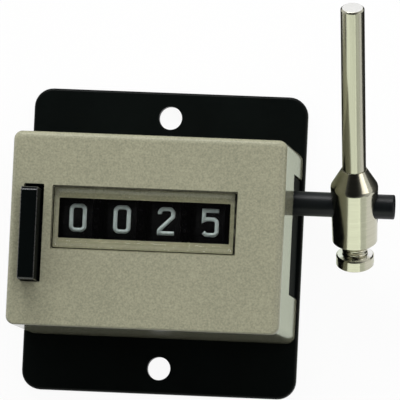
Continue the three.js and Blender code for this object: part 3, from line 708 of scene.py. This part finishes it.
def figure_paths(right, top):
    """The middle lines of the strokes of the figures 0 to 9. A closed line has True beside it."""
    left, bottom = -right, -top
    cut = 0.4
    bar = 0.12
    belly = 0.55
    long_end = right + 0.25

    def loop(high, low):
        """A loop with cut corners. Its first four points run over its top, its last four back below."""
        return [
            (left, high - cut), (left + cut, high), (right - cut, high), (right, high - cut),
            (right, low + cut), (right - cut, low), (left + cut, low), (left, low + cut),
        ]

    ring = loop(top, bottom)
    upper = loop(top, bar)
    lower = loop(bar, bottom)
    one = [(-0.65, top - 0.75), (0.1, top), (0.1, bottom)]
    two = [
        (left, top - 0.85), *ring[:4], (right, top - 1.25), (left, bottom + 0.5), (left, bottom),
        (long_end, bottom),
    ]
    four = [(0.5, bottom), (0.5, top), (left, -0.75), (right, -0.75)]
    five = [(long_end, top), (left, top), (left, 0.35), (left + cut, belly), *loop(belly, bottom)[2:]]
    six = [*reversed(ring[:4]), *reversed(ring[4:]), *reversed(lower[2:4]), (left + 0.15, bar)]
    seven = [(left, top), (right, top), (right, top - 0.5), (-0.3, bottom)]
    nine = [(-x, -y) for x, y in six]
    return [
        [(ring, True)],
        [(one, False)],
        [(two, False)],
        [([*upper[:6], (-0.3, bar)], False), ([(-0.3, bar), *lower[2:]], False)],
        [(four, False)],
        [(five, False)],
        [(six, False)],
        [(seven, False)],
        [(upper, True), (lower, True)],
        [(nine, False)],
    ]


def eased(points, closed):
    """The line with each blunt corner cut once more, so that its bends look round."""
    cut = 0.1
    line = [Vector(point) for point in points]
    count = len(line)
    smooth = []
    for i, here in enumerate(line):
        if not closed and i in (0, count - 1):
            smooth.append(here)
            continue
        back = line[i - 1] - here
        on = line[(i + 1) % count] - here
        if back.angle(on) < math.radians(100):
            smooth.append(here)
            continue
        for leg in (back, on):
            smooth.append(here + leg.normalized() * min(cut, leg.length / 3))
    return smooth


def stroke_rows(points, closed, half_stroke):
    """Points on both sides of a stroke's middle line, close enough together to be wrapped round a drum."""
    spacing = 0.35
    line = [Vector(point) for point in points]
    count = len(line)
    rows = []
    for i, here in enumerate(line):
        before = line[i - 1] if closed or i else None
        after = line[(i + 1) % count] if closed or i + 1 < count else None
        into = (here - before).normalized() if before else (after - here).normalized()
        out = (after - here).normalized() if after else into
        side = Vector((-into.y - out.y, into.x + out.x))
        side.normalize()
        stretch = 1 / max(0.55, side.dot(Vector((-into.y, into.x))))
        rows.append((here, side * half_stroke * stretch))
    if closed:
        rows.append(rows[0])
    fine = []
    for (here, side), (there, next_side) in zip(rows, rows[1:]):
        steps = max(1, math.ceil((there - here).length / spacing))
        for step in range(steps):
            share = step / steps
            fine.append((here.lerp(there, share), side.lerp(next_side, share)))
    if not closed:
        fine.append(rows[-1])
    return [(here + side, here - side) for here, side in fine]


# The figure that each wheel shows at rest, from left to right
SHOWN = {"thousands": 0, "hundreds": 0, "tens": 2, "units": 5}
FIRST_DRUM_X = -10.975
DRUM_PITCH = 6.94
DRUM_MIDDLE = middle_mm("units_wheel")
DRUM_RADIUS = box_mm("units_wheel")[1].z - DRUM_MIDDLE.z
INK_HEIGHT = 0.03


class COUNTER_OT_wheels(bpy.types.Operator):
    """Gives the four number wheels their finish and prints ten figures round each"""
    bl_idname = "counter.wheels"
    bl_label = "Number wheels and figures"

    def execute(self, context):
        size = context.scene.counter_figures
        half_stroke = size.stroke / MM / 2
        paths = figure_paths(size.width / MM / 2 - half_stroke, size.height / MM / 2 - half_stroke)
        drum = moulded_plastic("moulded_wheel_acetal", tuple(size.drum), 0.5, 0.1)
        ink = printed_ink(tuple(size.ink))
        for i, (rank, shown) in enumerate(SHOWN.items()):
            kept(rank + "_wheel", drum)
            mesh = bmesh.new()
            for figure, strokes in enumerate(paths):
                turn = math.radians(36) * (shown - figure)
                for points, closed in strokes:
                    rows = stroke_rows(eased(points, closed), closed, half_stroke)
                    self.print_stroke(mesh, rows, closed, FIRST_DRUM_X + DRUM_PITCH * i, turn)
            piece(rank + "_figures", mesh, ink, "wheel_" + rank)
        return {"FINISHED"}

    def print_stroke(self, mesh, rows, closed, centre, turn):
        """Wraps one stroke round the drum as a thin raised strip."""
        def wrapped(point, radius):
            angle = turn + point.y / DRUM_RADIUS
            return mesh.verts.new((
                centre + point.x,
                DRUM_MIDDLE.y + radius * math.sin(angle),
                DRUM_MIDDLE.z + radius * math.cos(angle),
            ))

        foot = DRUM_RADIUS - INK_HEIGHT
        top = DRUM_RADIUS + INK_HEIGHT
        sections = []
        for left, right in rows:
            corners = ((left, foot), (left, top), (right, top), (right, foot))
            sections.append([wrapped(point, radius) for point, radius in corners])
        pairs = list(zip(sections, sections[1:]))
        if closed:
            pairs.append((sections[-1], sections[0]))
        else:
            mesh.faces.new(sections[0])
            mesh.faces.new(reversed(sections[-1]))
        for here, there in pairs:
            for i in range(4):
                j = (i + 1) % 4
                mesh.faces.new((here[i], there[i], there[j], here[j]))


PINIONS = ["transfer_pinion_1", "transfer_pinion_2", "transfer_pinion_3"]
GROUND_PARTS = [
    "wheel_axle", "pinion_axle", "reset_shaft", "pawl_pin", "drive_crank", "drive_pawl", "reset_arm",
]


class COUNTER_OT_works(bpy.types.Operator):
    """Gives the chassis, axles, pinions, pawl, springs and reset gear their finishes"""
    bl_idname = "counter.works"
    bl_label = "Chassis and works"

    def execute(self, context):
        black = moulded_plastic("moulded_black_nylon", linear("#06090B"), 0.8, 0.05)
        acetal = moulded_plastic("moulded_natural_acetal", linear("#C9C7BE"), 0.4)
        ground = drawn_metal("ground_bright_steel", linear("#BDBDBA"), roughness=0.25, along=0.3, across=2.0)
        spring = drawn_metal("drawn_spring_wire", linear("#9A9C9E"), roughness=0.3, along=2.0, across=0.2)
        kept("chassis", black, edge=0.1)
        finishes = {
            black: ["reset_comb"],
            acetal: PINIONS,
            ground: GROUND_PARTS,
            spring: ["detent_spring", "return_spring"],
        }
        for finish, names in finishes.items():
            for name in names:
                kept(name, finish)
        self.make_button_spring(spring)
        return {"FINISHED"}

    def make_button_spring(self, finish):
        """Winds the button's spring and gives it a mesh of its own."""
        low, high = box_mm("button_spring")
        middle = middle_mm("button_spring")
        mesh = coiled(radius=1.45, wire=0.4, low=low.z, high=high.z, turns=6)
        moved(mesh, Matrix.Translation((middle.x, middle.y, 0.0)))
        coil = piece("coiled_button_spring", mesh, finish, "case", ["button_spring"])
        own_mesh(coil)


class COUNTER_OT_button(bpy.types.Operator):
    """Builds the reset button: a cap with a sloped end, its flange, stem and foot"""
    bl_idname = "counter.button"
    bl_label = "Reset button"

    def execute(self, context):
        size = context.scene.counter_button
        low, high = box_mm("reset_button")
        middle = middle_mm("reset_button")
        stem = middle_mm("button_spring")
        flange_low, flange_high = 24.9, 26.1
        sunk = 0.05
        stem_to_foot = 4.0
        bore_radius = 1.05
        flange = block((low.x, low.y, flange_low), (high.x, high.y, flange_high))
        joined = flange_low + 2 * sunk
        post = self.square(middle.x, stem.y, half=1.8, low=12.3, high=joined, radius=0.3)
        foot = self.square(middle.x, stem.y + stem_to_foot, half=1.0, low=low.z, high=joined)
        cap = self.make_cap(size, low.y, flange_low + sunk)
        mesh = worked(cap, [flange, post, foot], "UNION")
        mesh = worked(mesh, [prism(circle(bore_radius, 32, (middle.x, stem.y)), 11.0, 16.6)])
        shade = tuple(size.shade)
        made = piece(
            "button_moulding", mesh, moulded_plastic("moulded_black_abs", shade, 0.64, 0.05), "button",
            ["reset_button"], edge=size.edge / MM, steps=3,
        )
        # The rounded edges are rubbed bright by use, so that they draw a thin pale line.
        made.data.materials.append(moulded_plastic("rubbed_black_abs", shade, 0.28, 0.85))
        made.modifiers["edges"].material = 1
        return {"FINISHED"}

    def square(self, x, y, half, low, high, radius=0.0):
        """An upright post of square section round a point."""
        return block((x - half, y - half, low), (x + half, y + half, high), radius)

    def make_cap(self, size, flange_start, foot):
        """The cap: a side outline drawn across its width, close to the left side of its slot."""
        top = box_mm("reset_button")[1].z
        inset = 0.845
        start = flange_start + inset
        end = start + size.cap_length / MM
        left_reach = 1.49
        left = middle_mm("reset_button").x - left_reach
        right = left + size.cap_width / MM
        slope = size.end_slope / MM
        bevel = 0.25
        side = [
            (start, foot), (end, foot), (end, top - slope), (end - slope, top), (start + bevel, top),
            (start, top - bevel),
        ]
        return skin([[(x, y, z) for y, z in side] for x in (left, right)])


class COUNTER_OT_shaft(bpy.types.Operator):
    """Turns the drive shaft and the bush that carries it"""
    bl_idname = "counter.shaft"
    bl_label = "Drive shaft and bush"

    def execute(self, context):
        size = context.scene.counter_lever
        low, high = box_mm("drive_shaft")
        axis = middle_mm("drive_shaft")
        along = Matrix.Translation((0.0, axis.y * MM, axis.z * MM)) @ Matrix.Rotation(RIGHT_ANGLE, 4, "Y")
        radius = size.shaft_radius / MM
        chamfer = 0.12
        profile = [
            (radius - chamfer, low.x), (radius, low.x + chamfer), (radius, high.x - chamfer),
            (radius - chamfer, high.x),
        ]
        piece(
            "turned_shaft", turned(profile), blackened_steel(tuple(size.shaft_black)), "lever_drive",
            ["drive_shaft"], place=along, edge=0.03,
        )
        low, high = box_mm("shaft_bush")
        bore = radius + 0.05
        outside = high.y - axis.y
        chamfer = 0.15
        ring = [
            (bore, low.x), (outside, low.x), (outside, high.x - chamfer), (outside - chamfer, high.x),
            (bore, high.x),
        ]
        bronze = drawn_metal(
            "oiled_sintered_bronze", linear("#2B2620"), roughness=0.5, along=0.4, across=0.4
        )
        piece(
            "pressed_bush", turned(ring, ring=True), bronze, "case", ["shaft_bush"],
            place=along, edge=0.04,
        )
        return {"FINISHED"}


def lever_place(settings):
    """The clamp's place: upright axis along the lever, sideways axis along the drive shaft."""
    axis = middle_mm("drive_shaft")
    axis.x = middle_mm("lever_clamp").x
    return Matrix.Translation(axis * MM) @ Matrix.Rotation(settings.tilt - RIGHT_ANGLE, 4, "X")


def turned_bend(before, corner, after, radius):
    """Points of a profile that go round a corner on an arc instead of through it."""
    steps = 5
    here, back, on = Vector(corner), Vector(before), Vector(after)
    into, out = (here - back).normalized(), (on - here).normalized()
    bend = into.angle(out)
    reach = radius * math.tan(bend / 2)
    start = here - into * reach
    side = Vector((-into.y, into.x))
    if side.dot(out) < 0:
        side = -side
    centre = start + side * radius
    points = []
    for step in range(steps + 1):
        turn = bend * step / steps
        point = centre - side * radius * math.cos(turn) + into * radius * math.sin(turn)
        points.append((point.x, point.y))
    return points


class COUNTER_OT_lever(bpy.types.Operator):
    """Turns the clamp head, its rod and its slotted clamp screw"""
    bl_idname = "counter.lever"
    bl_label = "Lever, clamp and screw"

    def execute(self, context):
        size = context.scene.counter_lever
        place = lever_place(size)
        plating = tuple(size.plating)
        lean = (size.tilt - RIGHT_ANGLE, 0.0, 0.0)
        nickel = drawn_metal(
            "turned_nickel_plated_steel", plating, roughness=0.16, along=0.16, across=5.0, turn=lean
        )
        drawn = drawn_metal(
            "drawn_nickel_plated_steel", shaded(plating, 0.9), roughness=0.2, along=7.0, across=0.2,
            strength=0.35, turn=lean,
        )
        # A paler copy of the plating for the ends that look along the lever: painted highlight.
        end_highlight = drawn_metal(
            "nickel_plating_painted_highlight", linear("#FAF9F4"), roughness=0.2, along=0.3, across=0.3, turn=lean
        )
        piece(
            "turned_clamp", self.make_clamp(), nickel, "lever_drive", ["lever_clamp"],
            place=place, edge=0.07,
        )
        rod = piece(
            "lever_rod_turned", self.make_rod(size), drawn, "lever_drive", ["lever_rod"],
            place=place, edge=0.04,
        )
        screw = piece(
            "clamp_screw_slotted", self.make_screw(size), nickel, "lever_drive",
            ["clamp_screw"], place=place, edge=0.04,
        )
        self.paint_end_highlight(rod, place, end_highlight)
        self.paint_end_highlight(screw, place, end_highlight)
        return {"FINISHED"}

    def paint_end_highlight(self, made, place, end_highlight):
        """Gives the faces that look along the lever a paler copy of the plating: a painted highlight."""
        along = place.to_3x3() @ Vector((0.0, 0.0, 1.0))
        made.data.materials.append(end_highlight)
        for face in made.data.polygons:
            if face.normal.dot(along) > 0.99:
                face.material_index = 1

    def make_clamp(self):
        """Turns the clamp's tapered body and cone, and bores it for the screw, the rod and the shaft."""
        end, foot, rim, tip = (3.41, -6.25), (3.56, -6.10), (3.77, 3.62), (2.0, 6.67)
        profile = [end, foot, *turned_bend(foot, rim, tip, 1.2), tip]
        past = 8.0
        screw_bore = prism(circle(2.1), -past, -0.975)
        rod_bore = prism(circle(1.93), 2.95, past)
        across = Matrix.Rotation(RIGHT_ANGLE, 4, "Y")
        shaft_bore = moved(prism(circle(2.0, 64), -6.0, 6.0), across)
        return worked(turned(profile, 96), [screw_bore, rod_bore, shaft_bore])

    def make_rod(self, size):
        """Turns the rod, from its seat in the clamp to its chamfered end."""
        radius = size.rod_radius / MM
        end = size.rod_end / MM
        seat = 3.25
        chamfer = 0.25
        return turned([(radius, seat), (radius, end - chamfer), (radius - chamfer, end)])

    def make_screw(self, size):
        """Cuts the screw's thread as a running groove and slots its disc head."""
        sides = 48
        pitch = size.thread_pitch / MM
        groove_depth = 0.3
        groove_share = 0.38
        shank, disc, chamfer = 2.05, 3.0, 0.2
        top, bottom, end = -2.25, -8.63, -10.55
        rings_per_pitch = 8
        rows = []
        count = math.ceil((top - bottom) / pitch * rings_per_pitch)
        for k in range(count + 1):
            height = top + (bottom - top) * k / count
            row = []
            for i in range(sides):
                phase = (height / pitch + i / sides) % 1.0
                groove = groove_depth * max(0.0, 1 - abs(phase - 0.5) / groove_share)
                radius = shank - (groove if 0 < k < count else 0.0)
                angle = math.tau * i / sides
                row.append((radius * math.cos(angle), radius * math.sin(angle), height))
            rows.append(row)
        head = [
            (disc - chamfer, bottom), (disc, bottom - chamfer), (disc, end + chamfer), (disc - chamfer, end),
        ]
        rows += [raised(circle(radius, sides), height) for radius, height in head]
        slot_half, slot_floor = 0.4, -9.75
        slot = block((-disc - OVERRUN, -slot_half, end - OVERRUN), (disc + OVERRUN, slot_half, slot_floor))
        return worked(skin(rows), [slot])


class COUNTER_OT_fixings(bpy.types.Operator):
    """Builds the four countersunk screws with a cross recess in the back of the plate"""
    bl_idname = "counter.fixings"
    bl_label = "Countersunk screws"

    def execute(self, context):
        zinc = drawn_metal("zinc_plated_steel", linear("#B4B6AE"), roughness=0.3, along=0.5, across=0.5)
        head_edge = 0.08
        tip_length, tip_radius = 0.3, 0.8
        arm, half_width, depth = 0.9, 0.17, 0.6
        for name in SCREWS:
            low, high = box_mm(name)
            middle = middle_mm(name)
            profile = [
                (SCREW_HEAD_RADIUS - head_edge, low.z), (SCREW_HEAD_RADIUS, low.z + head_edge),
                (SCREW_RADIUS, low.z + SCREW_HEAD_DEPTH), (SCREW_RADIUS, high.z - tip_length),
                (tip_radius, high.z),
            ]
            cross = [
                block((-x, -y, -OVERRUN), (x, y, low.z + depth))
                for x, y in ((arm, half_width), (half_width, arm))
            ]
            mesh = worked(turned(profile, 40), cross)
            moved(mesh, Matrix.Translation((middle.x, middle.y, 0.0)))
            piece(name + "_crossed", mesh, zinc, "case", [name], edge=0.04)
        return {"FINISHED"}


# The camera stands where the photograph was taken from, and the view is rolled a little. Its angles are
# in degrees: the turn and the drop of the camera from straight above the display, and the roll.
VIEW_TURN = 6.309
VIEW_DROP = -3.812
VIEW_ROLL = 2.695
VIEW_DISTANCE = 1216.684
VIEW_CENTRE = (5.480, 6.988)
VIEW_LENS = 686.66

# How far the floor and the cards on it lie below the plate's back
FLOOR_DROP = 0.2
CARD_DROP = 0.1

# Each card on the floor: name, lowest corner, highest corner and colour
CARDS = (
    ("black_card_right", (35.5, 5.0), (220.0, 78.0), "#141513"),
    ("black_card_left", (-40.0, 24.5), (30.5, 78.0), "#141513"),
    ("cream_card", (22.1, -26.0), (27.5, 24.0), "#CBD3C2"),
)

# Each lamp: name, direction, distance, width, height, radiance, colour, whether it lights matt surfaces,
# and whether it shows in glossy ones
LAMPS = (
    ("key", (-0.15, 0.82, 0.48), 620.0, 420.0, 200.0, 8.7, "#FFFFFF", True, True),
    ("overhead", (0.38, 0.22, 0.90), 290.0, 300.0, 300.0, 1.6, "#FFFFFF", True, False),
    ("left", (-0.93, 0.05, 0.36), 600.0, 200.0, 400.0, 2.6, "#FFFFFF", True, False),
    ("right", (0.81, 0.20, 0.53), 560.0, 120.0, 280.0, 2.1, "#FFF8F2", False, True),
    ("low_card", (-0.16, -0.91, 0.38), 620.0, 1000.0, 360.0, 1.2, "#F8FFF0", False, True),
    ("low_right_card", (0.69, -0.70, 0.22), 620.0, 320.0, 360.0, 0.55, "#F8FFF0", False, True),
)


class COUNTER_OT_stage(bpy.types.Operator):
    """Sets the floor, the soft studio lamps, the pale surroundings and the camera"""
    bl_idname = "counter.stage"
    bl_label = "Stage"

    def execute(self, context):
        self.make_camera(context)
        self.make_floor(context)
        self.make_cards()
        self.make_lamps()
        self.make_surroundings(context)
        context.scene.view_settings.view_transform = "Standard"
        return {"FINISHED"}

    def make_camera(self, context):
        """Aims the camera from the photograph's angle."""
        turn, drop, roll = (math.radians(angle) for angle in (VIEW_TURN, VIEW_DROP, VIEW_ROLL))
        back = Vector((math.sin(turn) * math.cos(drop), math.sin(drop), math.cos(turn) * math.cos(drop)))
        level = Vector((0.0, 1.0, 0.0)).cross(back).normalized()
        upright = back.cross(level)
        right = level * math.cos(roll) + upright * math.sin(roll)
        above = upright * math.cos(roll) - level * math.sin(roll)
        place = (right * VIEW_CENTRE[0] + above * VIEW_CENTRE[1] + back * VIEW_DISTANCE) * MM
        data = bpy.data.cameras.new("camera")
        data.sensor_width = 36.0
        data.lens = VIEW_LENS
        data.clip_start = 0.05
        data.clip_end = 20.0
        camera = placed("camera", data)
        aim = Matrix((right, above, back)).transposed().to_4x4()
        camera.matrix_world = Matrix.Translation(place) @ aim
        context.scene.camera = camera

    def make_floor(self, context):
        """Lays a pale floor that keeps the shadow, and is white to the camera and in reflections."""
        settings = context.scene.counter_stage
        half = settings.floor_half / MM
        material, tree, shader, spot = surface("pale_floor_board", {"Roughness": 0.9})
        fibre = put(tree, "TexNoise", {"Scale": per(40.0), "Detail": 3.0}, {"Vector": spot})
        base = tuple(settings.floor_colour)
        vary(tree, shader, fibre.outputs["Fac"], tones=(base, shaded(base, 0.985)))
        # Little light comes back from the floor onto the counter, as under the photograph's screened lamps.
        path = put(tree, "LightPath")
        dim = put(tree, "BsdfDiffuse", {"Color": (0.54, 0.58, 0.58)})
        board = put(tree, "MixShader", {}, {
            0: path.outputs["Is Diffuse Ray"], 1: shader.outputs["BSDF"], 2: dim.outputs["BSDF"],
        })
        seen = path.outputs["Is Camera Ray"]
        for kind in ("Is Glossy Ray", "Is Transmission Ray"):
            either = put(tree, "Math", {"operation": "MAXIMUM"}, {0: seen, 1: path.outputs[kind]})
            seen = either.outputs["Value"]
        share = put(tree, "Math", {"operation": "MULTIPLY", 1: 0.93}, {0: seen})
        glow = put(tree, "Emission", {"Strength": 1.0})
        mix = put(tree, "MixShader", {}, {
            0: share.outputs["Value"], 1: board.outputs["Shader"], 2: glow.outputs["Emission"],
        })
        tree.links.new(mix.outputs["Shader"], tree.nodes["Material Output"].inputs["Surface"])
        self.lay_sheet("floor", (-half, -half), (half, half), FLOOR_DROP, material)

    def lay_sheet(self, name, low, high, drop, material):
        """Lays a flat rectangular sheet of the stage."""
        mesh = bmesh.new()
        corners = ((low[0], low[1]), (high[0], low[1]), (high[0], high[1]), (low[0], high[1]))
        mesh.faces.new([mesh.verts.new((x * MM, y * MM, -drop * MM)) for x, y in corners])
        sheet = shaped(name, mesh, material)
        return sheet

    def make_cards(self):
        """Lays cards beside the counter, which show only in its gloss: they draw the rod's edges."""
        for name, low, high, code in CARDS:
            material, tree, shader, spot = surface(
                name + "_paper", {"Base Color": (0.0, 0.0, 0.0), "Emission Strength": 1.0}
            )
            fibre = put(tree, "TexNoise", {"Scale": per(15.0), "Detail": 3.0}, {"Vector": spot})
            tones = (shaded(linear(code), 0.9), shaded(linear(code), 1.1))
            vary(tree, shader, fibre.outputs["Fac"], tones=tones, socket="Emission Color")
            card = self.lay_sheet(name, low, high, CARD_DROP, material)
            card.visible_camera = False
            card.visible_diffuse = False
            card.visible_shadow = False
            card.visible_transmission = False

    def make_lamps(self):
        """Places soft lamps, each by its direction from the counter, its size and how bright its face is."""
        target = Vector((8.0, 4.0, 12.0)) * MM
        for name, direction, distance, wide, tall, radiance, code, lights, mirrored in LAMPS:
            data = bpy.data.lights.new(name, "AREA")
            data.shape = "RECTANGLE"
            data.size = wide * MM
            data.size_y = tall * MM
            data.energy = radiance * math.pi * data.size * data.size_y
            data.color = linear(code)
            lamp = placed(name, data)
            lamp.visible_diffuse = lights
            lamp.visible_glossy = mirrored
            lamp.visible_transmission = mirrored
            away = Vector(direction).normalized()
            facing = away.to_track_quat("Z", "Y").to_matrix().to_4x4()
            lamp.matrix_world = Matrix.Translation(target + away * distance * MM) @ facing

    def make_surroundings(self, context):
        """Surrounds the counter with a studio that is pale at the horizon and dim overhead."""
        world = bpy.data.worlds.new("studio")
        world.use_nodes = True
        tree = world.node_tree
        tree.nodes.clear()
        direction = put(tree, "TexCoord").outputs["Generated"]
        parts = put(tree, "SeparateXYZ", {}, {"Vector": direction})
        level = put(tree, "MapRange", {
            "interpolation_type": "SMOOTHSTEP",
            "From Min": 0.25, "From Max": 0.95, "To Min": 0.8, "To Max": 0.015,
        }, {"Value": parts.outputs["Z"]})
        side = put(tree, "MapRange", {
            "interpolation_type": "SMOOTHSTEP",
            "From Min": -0.8, "From Max": 0.1, "To Min": 0.25, "To Max": 1.0,
        }, {"Value": parts.outputs["Y"]})
        both = put(tree, "Math", {"operation": "MULTIPLY"}, {
            0: level.outputs["Result"], 1: side.outputs["Result"],
        })
        sky = put(tree, "Background", {"Color": linear("#FFFFFF")}, {"Strength": both.outputs["Value"]})
        put(tree, "OutputWorld", {}, {"Surface": sky.outputs["Background"]})
        context.scene.world = world


class COUNTER_PT_panel(bpy.types.Panel):
    """Lists the counter's pieces and their settings"""
    bl_label = "Piece counter"
    bl_idname = "COUNTER_PT_panel"
    bl_space_type = "VIEW_3D"
    bl_region_type = "UI"
    bl_category = "Counter"

    def draw(self, context):
        for group, name in SETTINGS.items():
            for field in group.__annotations__:
                self.layout.prop(getattr(context.scene, name), field)
        for operator in PIECES:
            self.layout.operator(operator.bl_idname)


SETTINGS = {
    PlateSettings: "counter_plate",
    CoverSettings: "counter_cover",
    WindowSettings: "counter_window",
    FigureSettings: "counter_figures",
    ButtonSettings: "counter_button",
    LeverSettings: "counter_lever",
    StageSettings: "counter_stage",
}
PIECES = (
    COUNTER_OT_plate,
    COUNTER_OT_cover,
    COUNTER_OT_window,
    COUNTER_OT_wheels,
    COUNTER_OT_works,
    COUNTER_OT_button,
    COUNTER_OT_shaft,
    COUNTER_OT_lever,
    COUNTER_OT_fixings,
    COUNTER_OT_stage,
)


def register():
    for group, name in SETTINGS.items():
        bpy.utils.register_class(group)
        setattr(bpy.types.Scene, name, bpy.props.PointerProperty(type=group))
    for kind in (*PIECES, COUNTER_PT_panel):
        bpy.utils.register_class(kind)


def unregister():
    for kind in (COUNTER_PT_panel, *reversed(PIECES)):
        bpy.utils.unregister_class(kind)
    for group, name in SETTINGS.items():
        delattr(bpy.types.Scene, name)
        bpy.utils.unregister_class(group)


def main():
    register()
    for operator in PIECES:
        family, name = operator.bl_idname.split(".")
        getattr(getattr(bpy.ops, family), name)()


if __name__ == "__main__":
    main()
